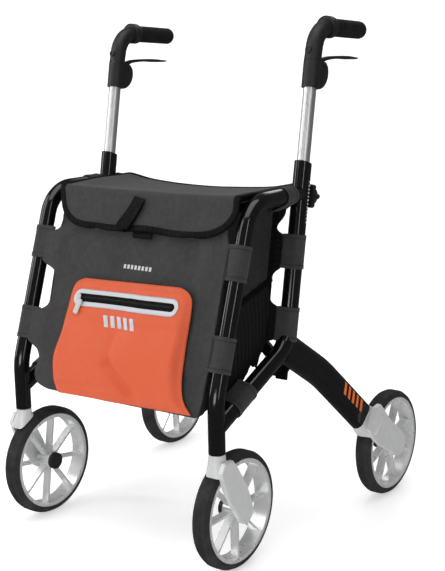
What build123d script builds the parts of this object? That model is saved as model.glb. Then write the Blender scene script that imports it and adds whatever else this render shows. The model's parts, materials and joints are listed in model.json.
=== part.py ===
from build123d import *
import os
from math import acos, degrees, hypot

# Folding four-wheeled walker with a seat and a shopping bag between two side frames.
# Millimetres. +Z is up, the walker's front faces -Y, and the user's left side is +X.
# The origin is on the floor, midway between the axles and between the side frames.

# ---- driving dimensions -------------------------------------------------------------
wheel_radius = 100
tyre_width = 32
wheelbase = 436
front_wheel_x = 215
rear_wheel_x = 262

frame_x = 220
front_tube_radius = 14
upright_radius = 15
tube_wall = 2
handle_tube_radius = 11
slide_gap = 0.05

caster_trail = 50
front_tube_foot = 213
front_lean_start = 300
front_lean = 0.336
top_run_height = 603
upright_top = 645
upright_lean = 0.183
junction_height = 346
junction_distance = 153

leg_height = 54
leg_width = 27

pivot_x = 184
brace_offset = 43
brace_low = 300
brace_high = 600
bar_width = 22
bar_thickness = 12
bar_spacing = 16
pin_radius = 5
rail_radius = 8

seat_half_width = 198
flap_half_width = 202
seat_front = 46
seat_back = 246
seat_thickness = 6
panel = 4
soft_gap = 0.4
bag_half_width = 196
bag_top = 572

handle_low = 778
housing_top = 824
grip_height = 878
grip_radius = 15.5
grip_start = 300
grip_end = 405


def back(distance):
    """Y of a point that lies this far behind the front axle."""
    return distance - wheelbase / 2


def upright_distance(height):
    """How far behind the front axle the upright's axis is at a height."""
    return junction_distance + upright_lean * (height - junction_height)


def front_distance(height):
    """How far behind the front axle the front tube's axis is at a height, above its bend."""
    return front_lean * (height - front_lean_start) - caster_trail


up = Vector(0, upright_lean, 1).normalized()
rear = Vector(0, 1, -upright_lean).normalized()
across = Vector(1, 0, 0)
side_plane = Plane.YZ.offset(frame_x)
top_corner = (top_run_height - front_lean_start) * front_lean - caster_trail


def on_upright(height, behind=0, x=frame_x):
    """A point at a height on the upright's axis, moved square off it towards the rear."""
    return Vector(x, back(upright_distance(height)), height) + rear * behind


def write(piece, label):
    """Label a finished piece and write it to its own file."""
    piece.part.label = label
    export_step(piece.part, f"parts/{label}.step")


def write_pair(piece, label):
    """Write a piece of the left side, and its mirror image for the right side."""
    write(piece, f"left_{label}")
    with BuildPart() as mirrored:
        mirror(piece.part, about=Plane.YZ)
    write(mirrored, f"right_{label}")


def bent_tube(points, corner_radii, outer, inner=0):
    """A round tube, or a rod, bent in the plane of the side frame."""
    with BuildPart() as tube:
        with BuildLine(side_plane):
            route = FilletPolyline(*points, radius=corner_radii)
        with BuildSketch(Plane(origin=route @ 0, x_dir=across, z_dir=route % 0)):
            Circle(outer)
            if inner:
                Circle(inner, mode=Mode.SUBTRACT)
        sweep(path=route)
    return tube


def cylinder_between(start, end, radius):
    """A plain rod from one point to another."""
    length = Vector(end) - Vector(start)
    with BuildPart() as rod:
        with BuildSketch(Plane(origin=start, z_dir=length)):
            Circle(radius)
        extrude(amount=length.length)
    return rod


os.makedirs("parts", exist_ok=True)

# ---- side frame ---------------------------------------------------------------------
front_route = (
    (back(-caster_trail), front_tube_foot),
    (back(-caster_trail), front_lean_start),
    (back(top_corner), top_run_height),
    (back(upright_distance(top_run_height)), top_run_height),
)
front_bends = (120, 62)
strut_foot = 2 - caster_trail
strut_low = 256
upright_route = (
    (back(upright_distance(upright_top)), upright_top),
    (back(junction_distance), junction_height),
    (back(strut_foot), strut_low),
)
junction_bend = (62,)

front_envelope = bent_tube(front_route, front_bends, front_tube_radius)
upright_envelope = bent_tube(upright_route, junction_bend, upright_radius)

stem_radius = 6
bearing_length = 40
with BuildPart() as front_tube:
    add(bent_tube(front_route, front_bends, front_tube_radius, front_tube_radius - tube_wall).part)
    with BuildSketch(Plane.XY.offset(front_tube_foot)):
        with Locations((frame_x, back(-caster_trail))):
            Circle(front_tube_radius - tube_wall)
            Circle(stem_radius + slide_gap, mode=Mode.SUBTRACT)
    extrude(amount=bearing_length)
    add(upright_envelope.part, mode=Mode.SUBTRACT)
write_pair(front_tube, "front_tube")

knob_height = 600
knob_shaft_radius = 4
knob_boss_radius = 8
knob_boss_height = 1.4
upright_bore = upright_radius - tube_wall - 0.8
with BuildPart() as upright_tube:
    add(bent_tube(upright_route, junction_bend, upright_radius, upright_bore).part)
    boss_base = on_upright(knob_height, upright_bore + 0.6)
    with BuildSketch(Plane(origin=boss_base, x_dir=across, z_dir=rear)):
        Circle(knob_boss_radius)
    extrude(amount=upright_radius + knob_boss_height - upright_bore)
    shaft_hole = on_upright(knob_height, upright_bore - 4)
    with BuildSketch(Plane(origin=shaft_hole, x_dir=across, z_dir=rear)):
        Circle(knob_shaft_radius + slide_gap)
    extrude(amount=12, mode=Mode.SUBTRACT)
    add(front_envelope.part, mode=Mode.SUBTRACT)
write_pair(upright_tube, "upright_tube")

# A sleeve in the top of the upright guides the handle tube, and its rim is cut at a slant.
collar_depth = 38
collar_rise = 22
with BuildPart() as upright_collar:
    with BuildSketch(Plane(origin=on_upright(upright_top), x_dir=across, z_dir=up)):
        Circle(upright_bore)
        Circle(handle_tube_radius + slide_gap, mode=Mode.SUBTRACT)
    extrude(amount=-collar_depth)
    with BuildSketch(Plane(origin=on_upright(upright_top), x_dir=across, z_dir=up)):
        Circle(upright_radius)
        Circle(handle_tube_radius + slide_gap, mode=Mode.SUBTRACT)
    extrude(amount=collar_rise)
    slant = Plane(origin=on_upright(upright_top + 9), x_dir=across, z_dir=(0, 0.42, 1))
    split(bisect_by=slant, keep=Keep.BOTTOM)
write_pair(upright_collar, "upright_collar")

# The rear leg is an oval tube that leaves the junction and splays outwards to the rear wheel.
leg_start = Vector(frame_x, back(150), 343)
leg_bend = Vector(234, back(240), 279)
leg_end = Vector(259, back(340), 176)
leg_direction = (leg_end - leg_bend).normalized()
leg_bend_radius = 220
leg_wall = 2.5


def leg_section(width, height):
    """A tall oval across the leg's start."""
    RectangleRounded(width, height, width / 2 - 0.3)


def leg_sweep(inset):
    """The leg as a solid, set in from its outside by this much."""
    with BuildPart() as sweep_part:
        with BuildLine():
            route = FilletPolyline(leg_start, leg_bend, leg_end, radius=leg_bend_radius)
        start_plane = Plane(origin=route @ 0, x_dir=across, z_dir=route % 0)
        with BuildSketch(start_plane):
            leg_section(leg_width - 2 * inset, leg_height - 2 * inset)
        sweep(path=route)
    return sweep_part


with BuildPart() as rear_leg:
    add(leg_sweep(0).part)
    add(leg_sweep(leg_wall).part, mode=Mode.SUBTRACT)
    add(upright_envelope.part, mode=Mode.SUBTRACT)
write_pair(rear_leg, "rear_leg")

# ---- wheels -------------------------------------------------------------------------
rim_radius = 88
tyre_seat = 85.5
rim_inside = 81
flange = 2.5
hub_radius = 14
axle_radius = 6
axle_tip = 10
rib_depth = 0.8
rib_width = 1.1
rib_pitch = 3.6
spoke_count = 8
spoke_thickness = 4.2
spoke_depth = 15
hub_cap_length = 8


def wheel_plane(x, y):
    """A plane through a wheel's centre: across the walker, and up."""
    return Plane(origin=(x, y, wheel_radius), x_dir=(1, 0, 0), z_dir=(0, -1, 0))


def tyre(x, y):
    """A ribbed tyre around the rim."""
    half = tyre_width / 2
    with BuildPart() as piece:
        with BuildSketch(wheel_plane(x, y)):
            with BuildLine():
                Polyline(
                    (-half, rim_radius),
                    (-half, wheel_radius - 9),
                    (-half + 4, wheel_radius - 2.6),
                    (-half + 9, wheel_radius),
                    (half - 9, wheel_radius),
                    (half - 4, wheel_radius - 2.6),
                    (half, wheel_radius - 9),
                    (half, rim_radius),
                    (half - flange - 1, rim_radius),
                    (half - flange - 1, tyre_seat),
                    (-half + flange + 1, tyre_seat),
                    (-half + flange + 1, rim_radius),
                    close=True,
                )
            make_face()
            with Locations((0, wheel_radius)):
                with GridLocations(rib_pitch, 0, 4, 1):
                    Rectangle(rib_width, 2 * rib_depth, mode=Mode.SUBTRACT)
        revolve(axis=Axis((x, y, wheel_radius), (1, 0, 0)))
    return piece


def rim(x, y, outward, first_spoke):
    """A deep rim on eight blade spokes, with a hub bored from its outer side."""
    half = tyre_width / 2 - 1
    with BuildPart() as piece:
        with BuildSketch(wheel_plane(x, y)):
            Rectangle(2 * half, hub_radius, align=(Align.CENTER, Align.MIN))
            with Locations((0, rim_inside)):
                Rectangle(2 * half, tyre_seat - rim_inside, align=(Align.CENTER, Align.MIN))
            with Locations((-half, rim_inside)):
                Rectangle(flange, rim_radius - rim_inside, align=(Align.MIN, Align.MIN))
            with Locations((half, rim_inside)):
                Rectangle(flange, rim_radius - rim_inside, align=(Align.MAX, Align.MIN))
        revolve(axis=Axis((x, y, wheel_radius), (1, 0, 0)))
        with BuildSketch(Plane(origin=(x, y, wheel_radius), x_dir=(0, 1, 0), z_dir=(1, 0, 0))):
            with PolarLocations(0, spoke_count, start_angle=first_spoke):
                with Locations(((hub_radius + rim_inside) / 2, 0)):
                    Rectangle(rim_inside - hub_radius + 2, spoke_thickness)
        extrude(amount=spoke_depth / 2, both=True)
        bore_mouth = Plane(origin=(x + outward * half, y, wheel_radius), z_dir=(-outward, 0, 0))
        with BuildSketch(bore_mouth):
            Circle(axle_radius + slide_gap)
        extrude(amount=half + axle_tip + 0.5, mode=Mode.SUBTRACT)
    return piece


def hub_cap(x, y, outward):
    """A round cap on the hub's inner end."""
    half = tyre_width / 2 - 1
    with BuildPart() as piece:
        hub_end = (x - outward * half, y, wheel_radius)
        with BuildSketch(Plane(origin=hub_end, z_dir=(-outward, 0, 0))):
            Circle(hub_radius + 1.5)
        extrude(amount=hub_cap_length)
        outer_rim = piece.edges().filter_by(GeomType.CIRCLE).sort_by(Axis.X)[-1 if outward < 0 else 0]
        fillet(outer_rim, radius=2.5)
    return piece


wheel_set = (
    ("left_front", front_wheel_x, back(0), 1, 1),
    ("right_front", -front_wheel_x, back(0), -1, -8.5),
    ("left_rear", rear_wheel_x, back(wheelbase), 1, 18),
    ("right_rear", -rear_wheel_x, back(wheelbase), -1, 5),
)
for name, x, y, outward, first_spoke in wheel_set:
    write(tyre(x, y), f"{name}_tyre")
    write(rim(x, y, outward, first_spoke), f"{name}_rim")
    write(hub_cap(x, y, outward), f"{name}_hub_cap")

# ---- forks --------------------------------------------------------------------------
arm_thickness = 8
arm_gap = 3.5
shoulder_gap = 4


def wheel_envelope(x, y, outward_reach):
    """The space a wheel needs, out to the arm's inner face."""
    inner = x - tyre_width / 2 - 6
    return cylinder_between(
        (inner, y, wheel_radius), (x + outward_reach, y, wheel_radius), wheel_radius + shoulder_gap
    )


def axle(x, y):
    """The stub axle that carries a wheel, with its shoulder against the arm."""
    arm_face = x + tyre_width / 2 + arm_gap
    with BuildPart() as piece:
        with BuildSketch(Plane(origin=(arm_face + 1, y, wheel_radius), z_dir=(-1, 0, 0))):
            Circle(axle_radius)
        extrude(amount=arm_face + 1 - x + axle_tip)
        with BuildSketch(Plane(origin=(arm_face + 1, y, wheel_radius), z_dir=(-1, 0, 0))):
            Circle(hub_radius - 3)
        extrude(amount=1 + arm_gap)
    return piece


caster_arm_face = front_wheel_x + tyre_width / 2 + arm_gap
caster_x = frame_x
with BuildPart() as caster_fork:
    # leaf-shaped arm beside the wheel
    with BuildSketch(Plane.YZ.offset(caster_arm_face)):
        with BuildLine():
            hub_arc = ThreePointArc((back(-19), 91), (back(1), 82), (back(17), 106))
            Spline(hub_arc @ 1, (back(8), 132), (back(-10), 165), (back(-25), 188))
            Polyline((back(-25), 188), (back(-36), 201), (back(-58), 201), (back(-67), 186))
            Spline((back(-67), 186), (back(-53), 147), (back(-30), 108), hub_arc @ 0)
        make_face()
    extrude(amount=arm_thickness)
    # shoulder that carries the arm from the swivel neck over the tyre
    with BuildSketch(Plane.XY.offset(212)):
        with Locations((caster_x, back(-caster_trail))):
            Circle(front_tube_radius - 0.4)
    with BuildSketch(Plane.XY.offset(202)):
        with Locations((caster_x, back(-caster_trail))):
            Circle(front_tube_radius + 0.4)
    with BuildSketch(Plane.XY.offset(178)):
        with Locations((caster_x + 3.7, back(-caster_trail) + 3)):
            RectangleRounded(37, 46, 12)
    loft(ruled=True)
    front_reach = caster_arm_face - front_wheel_x
    add(wheel_envelope(front_wheel_x, back(0), front_reach).part, mode=Mode.SUBTRACT)
    add(axle(front_wheel_x, back(0)).part)
    outer_face = caster_fork.faces().filter_by(Axis.X).sort_by(Axis.X)[-1]
    fillet(outer_face.edges(), radius=2)
    with BuildSketch(Plane(origin=(caster_x, back(-caster_trail), 212), z_dir=(0, 0, -1))):
        Circle(stem_radius)
    extrude(amount=14, mode=Mode.SUBTRACT)
write_pair(caster_fork, "caster_fork")

with BuildPart() as caster_stem:
    with BuildSketch(Plane.XY.offset(198)):
        with Locations((caster_x, back(-caster_trail))):
            Circle(stem_radius)
    extrude(amount=front_tube_foot + bearing_length - 4 - 198)
write_pair(caster_stem, "caster_stem")

rear_arm_face = rear_wheel_x + tyre_width / 2 + arm_gap
shoe_direction = Vector(0, back(wheelbase) - leg_end.Y - 4, wheel_radius - leg_end.Z + 3).normalized()
shoe_size = (19, 12)
shoe_gap = 3
shoe_length = 26


def shoe_plane(distance):
    """A plane square to the shoe's travel, at a distance from the rear axle."""
    origin = Vector(leg_end.X, back(wheelbase), wheel_radius) - shoe_direction * distance
    return Plane(origin=origin, x_dir=across, z_dir=shoe_direction * -1)


with BuildPart() as rear_fork:
    with BuildSketch(Plane.YZ.offset(rear_arm_face)):
        with BuildLine():
            rear_arc = ThreePointArc((back(414), 88), (back(446), 79), (back(462), 107))
            Spline(rear_arc @ 1, (back(446), 122), (back(417), 145), (back(380), 180))
            Polyline(
                (back(380), 180),
                (back(362), 198),
                (back(345), 196),
                (back(322), 160),
                (back(335), 142),
            )
            Spline((back(335), 142), (back(370), 114), (back(394), 100), rear_arc @ 0)
        make_face()
    extrude(amount=arm_thickness)
    # shoulder from the leg's end out to the arm, over the tyre
    with BuildSketch(Plane(origin=leg_end, x_dir=across, z_dir=leg_direction)):
        leg_section(leg_width - 0.6, leg_height - 0.6)
    over_tyre = leg_end + leg_direction * 26 + across * 5.5
    with BuildSketch(Plane(origin=over_tyre, x_dir=across, z_dir=leg_direction)):
        RectangleRounded(leg_width + 24, leg_height + 2, 14)
    loft()
    rear_reach = rear_arm_face - rear_wheel_x
    add(wheel_envelope(rear_wheel_x, back(wheelbase), rear_reach).part, mode=Mode.SUBTRACT)
    add(axle(rear_wheel_x, back(wheelbase)).part)
    with BuildSketch(shoe_plane(wheel_radius)):
        Rectangle(shoe_size[0] + 0.6, shoe_size[1] + 0.6)
    extrude(amount=60, mode=Mode.SUBTRACT)
write_pair(rear_fork, "rear_fork")

with BuildPart() as brake_shoe:
    with BuildSketch(shoe_plane(wheel_radius + shoe_gap)):
        RectangleRounded(*shoe_size, 2)
    extrude(amount=shoe_length)
write_pair(brake_shoe, "brake_shoe")

# ---- handles ------------------------------------------------------------------------
handle_base = 512
handle_top = 838
handle_bar_radius = 10
handle_bar_length = 94
grip_droop = 0.05


def grip_point(distance):
    """A point on the grip's axis, which droops a little towards its end."""
    return Vector(frame_x, back(distance), grip_height - grip_droop * (distance - grip_start))


grip_axis = (grip_point(grip_end) - grip_point(grip_start)).normalized()
handle_rod = cylinder_between(on_upright(handle_base - 30), on_upright(handle_top), handle_tube_radius)
with BuildPart() as handle_tube:
    with BuildSketch(Plane(origin=on_upright(handle_base), x_dir=across, z_dir=up)):
        Circle(handle_tube_radius)
        Circle(handle_tube_radius - 1.6, mode=Mode.SUBTRACT)
    extrude(amount=(handle_top - handle_base) / up.Z)
write_pair(handle_tube, "handle_tube")

housing_half = 12
lever_pivot = Vector(frame_x, back(258), 812)
lever_slot = 4.2
with BuildPart() as brake_housing:
    with BuildSketch(Plane.YZ.offset(frame_x - housing_half)):
        with BuildLine():
            bulge = ThreePointArc((back(247), 775), (back(270), 789), (back(273), 812))
            Line(bulge @ 1, (back(264), housing_top))
            Line((back(264), housing_top), (back(238), housing_top))
            Line((back(238), housing_top), (back(232), 779))
            Line((back(232), 779), bulge @ 0)
        make_face()
    extrude(amount=2 * housing_half)
    fillet(brake_housing.edges().filter_by(Axis.X).sort_by(Axis.Y)[-2:], radius=4)
    fillet(brake_housing.faces().filter_by(Axis.X).edges().group_by(Axis.Y)[-1], radius=3)
    sleeve_axis = on_upright(housing_top) - on_upright(handle_low)
    with BuildSketch(Plane(origin=on_upright(handle_low - 4), x_dir=across, z_dir=sleeve_axis)):
        Circle(upright_radius)
    extrude(amount=sleeve_axis.length + 4)
    under = Plane(origin=on_upright(handle_low), x_dir=across, z_dir=(0, 0.25, 1))
    split(bisect_by=under, keep=Keep.TOP)
    top = Plane(origin=on_upright(housing_top), x_dir=across, z_dir=up)
    split(bisect_by=top, keep=Keep.BOTTOM)
    add(handle_rod.part, mode=Mode.SUBTRACT)
    # slot and pin hole for the lever
    with BuildSketch(Plane.YZ.offset(frame_x - lever_slot)):
        with Locations((back(270), lever_pivot.Z + 6)):
            Rectangle(40, 30)
    extrude(amount=2 * lever_slot, mode=Mode.SUBTRACT)
    with BuildSketch(Plane(origin=lever_pivot - across * 20, z_dir=across)):
        Circle(2.5 + slide_gap)
    extrude(amount=40, mode=Mode.SUBTRACT)
write_pair(brake_housing, "brake_housing")

lever_outline = ((3.8, 250), (3.8, 276), (9, 300), (9.5, 350), (4, 386))
with BuildPart() as brake_lever:
    # blade in side view: a tongue in the housing, rising to a long flat finger rest
    with BuildSketch(Plane.YZ.offset(frame_x - 12)):
        with BuildLine():
            upper = Spline(
                (back(256), 820),
                (back(270), 826.5),
                (back(290), 829),
                (back(330), 829.5),
                (back(386), 825.5),
            )
            Line(upper @ 1, (back(386), 823.5))
            lower = Spline(
                (back(386), 823.5),
                (back(330), 824.5),
                (back(290), 824),
                (back(272), 820),
                (back(262), 807),
            )
            Line(lower @ 1, (back(254), 806))
            Line((back(254), 806), upper @ 0)
        make_face()
    extrude(amount=24)
    # blade in plan: narrow at the pivot, widest under the fingers, tapering to the tip
    with BuildSketch(Plane.XY.offset(780)):
        with BuildLine():
            Polyline(
                *[(frame_x - half, back(distance)) for half, distance in lever_outline],
                *[(frame_x + half, back(distance)) for half, distance in reversed(lever_outline)],
                close=True,
            )
        make_face()
    extrude(amount=80, mode=Mode.INTERSECT)
    with BuildSketch(Plane(origin=lever_pivot - across * (housing_half - 1), z_dir=across)):
        Circle(2.5)
    extrude(amount=2 * housing_half - 2)
write_pair(brake_lever, "brake_lever")

knuckle = grip_point(grip_start - 18)
with BuildPart() as handle_elbow:
    elbow_corner = (back(254), grip_height)
    with BuildLine(side_plane):
        elbow_route = FilletPolyline(
            (on_upright(housing_top).Y, housing_top),
            elbow_corner,
            (grip_point(grip_start).Y, grip_height),
            radius=44,
        )
    with BuildSketch(Plane(origin=elbow_route @ 0, x_dir=across, z_dir=elbow_route % 0)):
        Circle(upright_radius - 0.3)
    sweep(path=elbow_route)
    with BuildSketch(Plane(origin=knuckle, x_dir=across, z_dir=grip_axis)):
        Circle(19)
    extrude(amount=18)
    fillet(handle_elbow.edges().filter_by(GeomType.CIRCLE).sort_by(SortBy.RADIUS)[-2:], radius=5)
    collar_end = Plane(origin=grip_point(grip_start), x_dir=across, z_dir=grip_axis)
    split(bisect_by=collar_end, keep=Keep.BOTTOM)
    with BuildSketch(Plane(origin=grip_point(grip_start - 4), x_dir=across, z_dir=grip_axis)):
        Circle(handle_bar_radius)
    extrude(amount=handle_bar_length)
    below = Plane(origin=on_upright(housing_top), x_dir=across, z_dir=up)
    split(bisect_by=below, keep=Keep.TOP)
    add(handle_rod.part, mode=Mode.SUBTRACT)
write_pair(handle_elbow, "handle_elbow")

with BuildPart() as grip:
    grip_length = (grip_point(grip_end) - grip_point(grip_start)).length
    with BuildSketch(Plane(origin=grip_point(grip_start), x_dir=across, z_dir=grip_axis)):
        Circle(grip_radius)
    extrude(amount=grip_length)
    end_rim = grip.edges().filter_by(GeomType.CIRCLE).sort_by(Axis.Y)[-1]
    fillet(end_rim, radius=grip_radius - 3)
    with BuildSketch(Plane(origin=grip_point(grip_start - 4), x_dir=across, z_dir=grip_axis)):
        Circle(handle_bar_radius)
    extrude(amount=handle_bar_length, mode=Mode.SUBTRACT)
write_pair(grip, "grip")

# A star knob behind each upright clamps the handle tube at the chosen height.
knob_radius = 18.5
knob_lobes = 6
knob_lobe_radius = 5
knob_length = 12
with BuildPart() as height_knob:
    knob_base = on_upright(knob_height, upright_radius + knob_boss_height + 1.1)
    with BuildSketch(Plane(origin=knob_base, x_dir=across, z_dir=rear)):
        Circle(knob_radius)
        with PolarLocations(knob_radius - 1, knob_lobes):
            Circle(knob_lobe_radius)
    extrude(amount=knob_length)
    knob_end = height_knob.faces().sort_by(Axis(knob_base, rear))[-1]
    fillet(knob_end.edges(), radius=3)
    shaft_start = on_upright(knob_height, handle_tube_radius + 0.3)
    with BuildSketch(Plane(origin=shaft_start, x_dir=across, z_dir=rear)):
        Circle(knob_shaft_radius)
    extrude(amount=8)
write_pair(height_knob, "height_knob")

# ---- folding cross brace ------------------------------------------------------------
brace_rise = (brace_high - brace_low) / up.Z
bar_length = hypot(2 * pivot_x, brace_rise)
open_angle = degrees(acos(2 * pivot_x / bar_length))


def brace_point(x, height, layer):
    """A point in one of the two layers of the brace; layer -1 is the front one."""
    return on_upright(height, brace_offset + layer * bar_spacing / 2, x)


def brace_plane(layer, face):
    """A layer's plane, seen from behind, moved by a share of the bar's thickness."""
    centre = brace_point(0, brace_low, layer) + rear * face
    return Plane(origin=centre, x_dir=(-1, 0, 0), z_dir=rear)


def cross_bar(layer, low_x):
    """A flat bar with round ends, from its lower pivot up to the opposite side."""
    slope = 180 - open_angle if low_x < 0 else open_angle
    with BuildPart() as bar:
        with BuildSketch(brace_plane(layer, -bar_thickness / 2)):
            with Locations((0, brace_rise / 2)):
                SlotCenterToCenter(bar_length, bar_width, rotation=slope)
            with Locations((-low_x, 0), (0, brace_rise / 2), (low_x, brace_rise)):
                Circle(pin_radius + slide_gap, mode=Mode.SUBTRACT)
        extrude(amount=bar_thickness)
        fillet(bar.edges().filter_by(GeomType.LINE), radius=3)
    return bar


def pin_through(x, height, low, high, radius=pin_radius):
    """A pin, or a round head, square to the brace, from low to high behind the uprights."""
    return cylinder_between(on_upright(height, low, x), on_upright(height, high, x), radius)


write(cross_bar(-1, -pivot_x), "cross_bar_a")
write(cross_bar(1, pivot_x), "cross_bar_b")

front_face = brace_offset - (bar_spacing + bar_thickness) / 2
back_face = brace_offset + (bar_spacing + bar_thickness) / 2
spacer_front = brace_offset - (bar_spacing - bar_thickness) / 2 + 0.1
spacer_back = brace_offset + (bar_spacing - bar_thickness) / 2 - 0.1
middle_height = (brace_low + brace_high) / 2
head = 4
head_radius = 9

with BuildPart() as centre_pivot:
    add(pin_through(0, middle_height, front_face - 1, back_face + 1).part)
    add(pin_through(0, middle_height, front_face - head, front_face - 0.1, head_radius).part)
    add(pin_through(0, middle_height, back_face + 0.1, back_face + head, head_radius).part)
    add(pin_through(0, middle_height, spacer_front, spacer_back, head_radius).part)
write(centre_pivot, "centre_pivot")


def bar_front(layer):
    """How far behind the uprights' axis a layer's front face is."""
    return brace_offset + layer * bar_spacing / 2 - bar_thickness / 2


def pivot_bracket(layer):
    """A plate on the left leg's inner face, with the pin that one bar turns on."""
    near = bar_front(layer)
    plate = 5
    plate_plane = Plane(
        origin=on_upright(brace_low, front_face - 1 - plate, pivot_x), x_dir=across, z_dir=rear
    )
    with BuildPart() as bracket:
        with BuildSketch(plate_plane):
            SlotOverall(50, 24)
            with Locations((16, 0)):
                Rectangle(22, 32)
        extrude(amount=plate)
        add(pin_through(pivot_x, brace_low, front_face - 1, near - 0.1, head_radius).part)
        add(pin_through(pivot_x, brace_low, front_face - 2, near + bar_thickness + 1).part)
        far = near + bar_thickness
        add(pin_through(pivot_x, brace_low, far + 0.1, far + head, head_radius).part)
        add(leg_sweep(0).part, mode=Mode.SUBTRACT)
        add(upright_envelope.part, mode=Mode.SUBTRACT)
    return bracket


def mirrored_part(piece):
    """The same piece on the right side."""
    with BuildPart() as other:
        mirror(piece.part, about=Plane.YZ)
    return other


write(mirrored_part(pivot_bracket(-1)), "right_pivot_bracket")
write(pivot_bracket(1), "left_pivot_bracket")

rail_front = 62
rail_lift = 6
boss_radius = 9.5


def seat_rail(layer):
    """The left fore-and-aft rail under the seat's edge, hung on the upper end of one bar."""
    near = bar_front(layer)
    boss_front = on_upright(brace_high, front_face - 12, pivot_x)
    rail_start = Vector(pivot_x, back(rail_front), boss_front.Z + rail_lift)
    with BuildPart() as rail:
        with BuildSketch(Plane(origin=rail_start, x_dir=across, z_dir=(0, 1, 0))):
            Circle(rail_radius)
        extrude(amount=boss_front.Y + 6 - rail_start.Y)
        fillet(rail.edges().filter_by(GeomType.CIRCLE).sort_by(Axis.Y)[0], radius=4)
        add(pin_through(pivot_x, brace_high, front_face - 12, near - 0.1, boss_radius).part)
        add(pin_through(pivot_x, brace_high, front_face - 6, near + bar_thickness + 1).part)
        far = near + bar_thickness
        add(pin_through(pivot_x, brace_high, far + 0.1, far + head, head_radius).part)
    return rail


write(mirrored_part(seat_rail(1)), "right_seat_rail")
write(seat_rail(-1), "left_seat_rail")
rail_top = on_upright(brace_high, front_face - 12).Z + rail_lift + rail_radius

# ---- bag ----------------------------------------------------------------------------
front_gap = 13
front_low = 268
back_low = 350
bag_back_top = 586
inner_half = bag_half_width - panel - soft_gap


def bag_front(height, forward=0):
    """Y of the front panel's inner face at a height, or of a face this far in front of it."""
    return back(front_distance(height)) - front_gap - forward


def bag_back(height, behind=0):
    """Y of the back panel's inner face at a height, or of a face this far behind it."""
    return back(upright_distance(height) - 27 + behind)


def slab(outline, x_low, x_high):
    """A plate with an outline that lies fore and aft, from x_low to x_high across the walker."""
    with BuildPart() as plate:
        with BuildSketch(Plane.YZ.offset(x_low)):
            with BuildLine():
                Polyline(*outline, close=True)
            make_face()
        extrude(amount=x_high - x_low)
    return plate


def front_layer(low, high, forward, thickness):
    """Outline of a layer that follows the front panel, this far in front of its inner face."""
    return (
        (bag_front(low, forward), low),
        (bag_front(high, forward), high),
        (bag_front(high, forward + thickness), high),
        (bag_front(low, forward + thickness), low),
    )


write(slab(front_layer(front_low, bag_top, 0, panel), -inner_half, inner_half), "bag_front_panel")
back_outline = (
    (bag_back(back_low), back_low),
    (bag_back(bag_back_top), bag_back_top),
    (bag_back(bag_back_top, panel), bag_back_top),
    (bag_back(back_low, panel), back_low),
)
write(slab(back_outline, -inner_half, inner_half), "bag_back_panel")

floor_front = Vector(0, bag_front(front_low + 5) + soft_gap, front_low + 5)
floor_rear = Vector(0, bag_back(back_low) - soft_gap, back_low - 4)
floor_outline = (
    (floor_front.Y, floor_front.Z),
    (floor_rear.Y, floor_rear.Z),
    (floor_rear.Y, floor_rear.Z - panel),
    (floor_front.Y, floor_front.Z - panel),
)
write(slab(floor_outline, -inner_half, inner_half), "bag_floor")

front_up = Vector(0, front_lean, 1).normalized()
strut_run = junction_distance - strut_foot
strut_up = Vector(0, strut_run, junction_height - strut_low).normalized()
strut_loop = 16
strut_slope = strut_up.Z / strut_up.Y
strut_middle = Vector(frame_x, back(strut_loop), strut_low + (strut_loop - strut_foot) * strut_slope)
panel_inside = bag_half_width - panel - frame_x
panel_outside = bag_half_width - frame_x
loops = (
    (Vector(frame_x, back(front_distance(509)), 509), front_up, front_tube_radius, 6),
    (Vector(frame_x, back(front_distance(369)), 369), front_up, front_tube_radius, 6),
    (on_upright(505), up, upright_radius, 33),
    (on_upright(383), up, upright_radius, 33),
    (strut_middle, strut_up, upright_radius, 26),
)
loop_length = 58
loop_cloth = 2.2

# The side panel and the loops that hold it on the tubes are one piece of fabric.
with BuildPart() as side_panel:
    side_outline = (
        (bag_front(front_low + 8) + soft_gap, front_low + 8),
        (bag_front(bag_back_top) + soft_gap, bag_back_top),
        (bag_back(bag_back_top) - soft_gap, bag_back_top),
        (bag_back(back_low) - soft_gap, back_low),
    )
    add(slab(side_outline, bag_half_width - panel, bag_half_width).part)
    for centre, direction, tube_radius, reach in loops:
        loop_end = centre - direction * (loop_length / 2)
        with BuildSketch(Plane(origin=loop_end, x_dir=across, z_dir=direction)):
            Circle(tube_radius + loop_cloth)
            with Locations((panel_inside, -reach)):
                Rectangle(panel, reach + 6, align=(Align.MIN, Align.MIN))
            with Locations((panel_inside, -6)):
                Rectangle(-panel_inside, 12, align=(Align.MIN, Align.MIN))
            Circle(tube_radius, mode=Mode.SUBTRACT)
        extrude(amount=loop_length)
    add(upright_envelope.part, mode=Mode.SUBTRACT)
    add(leg_sweep(0).part, mode=Mode.SUBTRACT)
write_pair(side_panel, "side_panel")

# ---- seat, flap and what is on them -------------------------------------------------
seat_bottom = rail_top + soft_gap
seat_outline = (
    (back(seat_front), seat_bottom),
    (back(seat_back), seat_bottom),
    (back(seat_back), seat_bottom + seat_thickness),
    (back(seat_front), seat_bottom + seat_thickness),
)
write(slab(seat_outline, -seat_half_width, seat_half_width), "seat")

flap_low = 550
flap_side_low = 42
flap_low_half = 154
flap_top = seat_bottom - 2
flap_forward = panel + 2
flap_cloth = 4
lean_length = hypot(1, front_lean)


def front_plane(low, forward):
    """A plane that lies along the front panel, this far in front of its inner face."""
    return Plane(origin=(0, bag_front(low, forward), low), x_dir=across, z_dir=(0, -1, front_lean))


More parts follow.
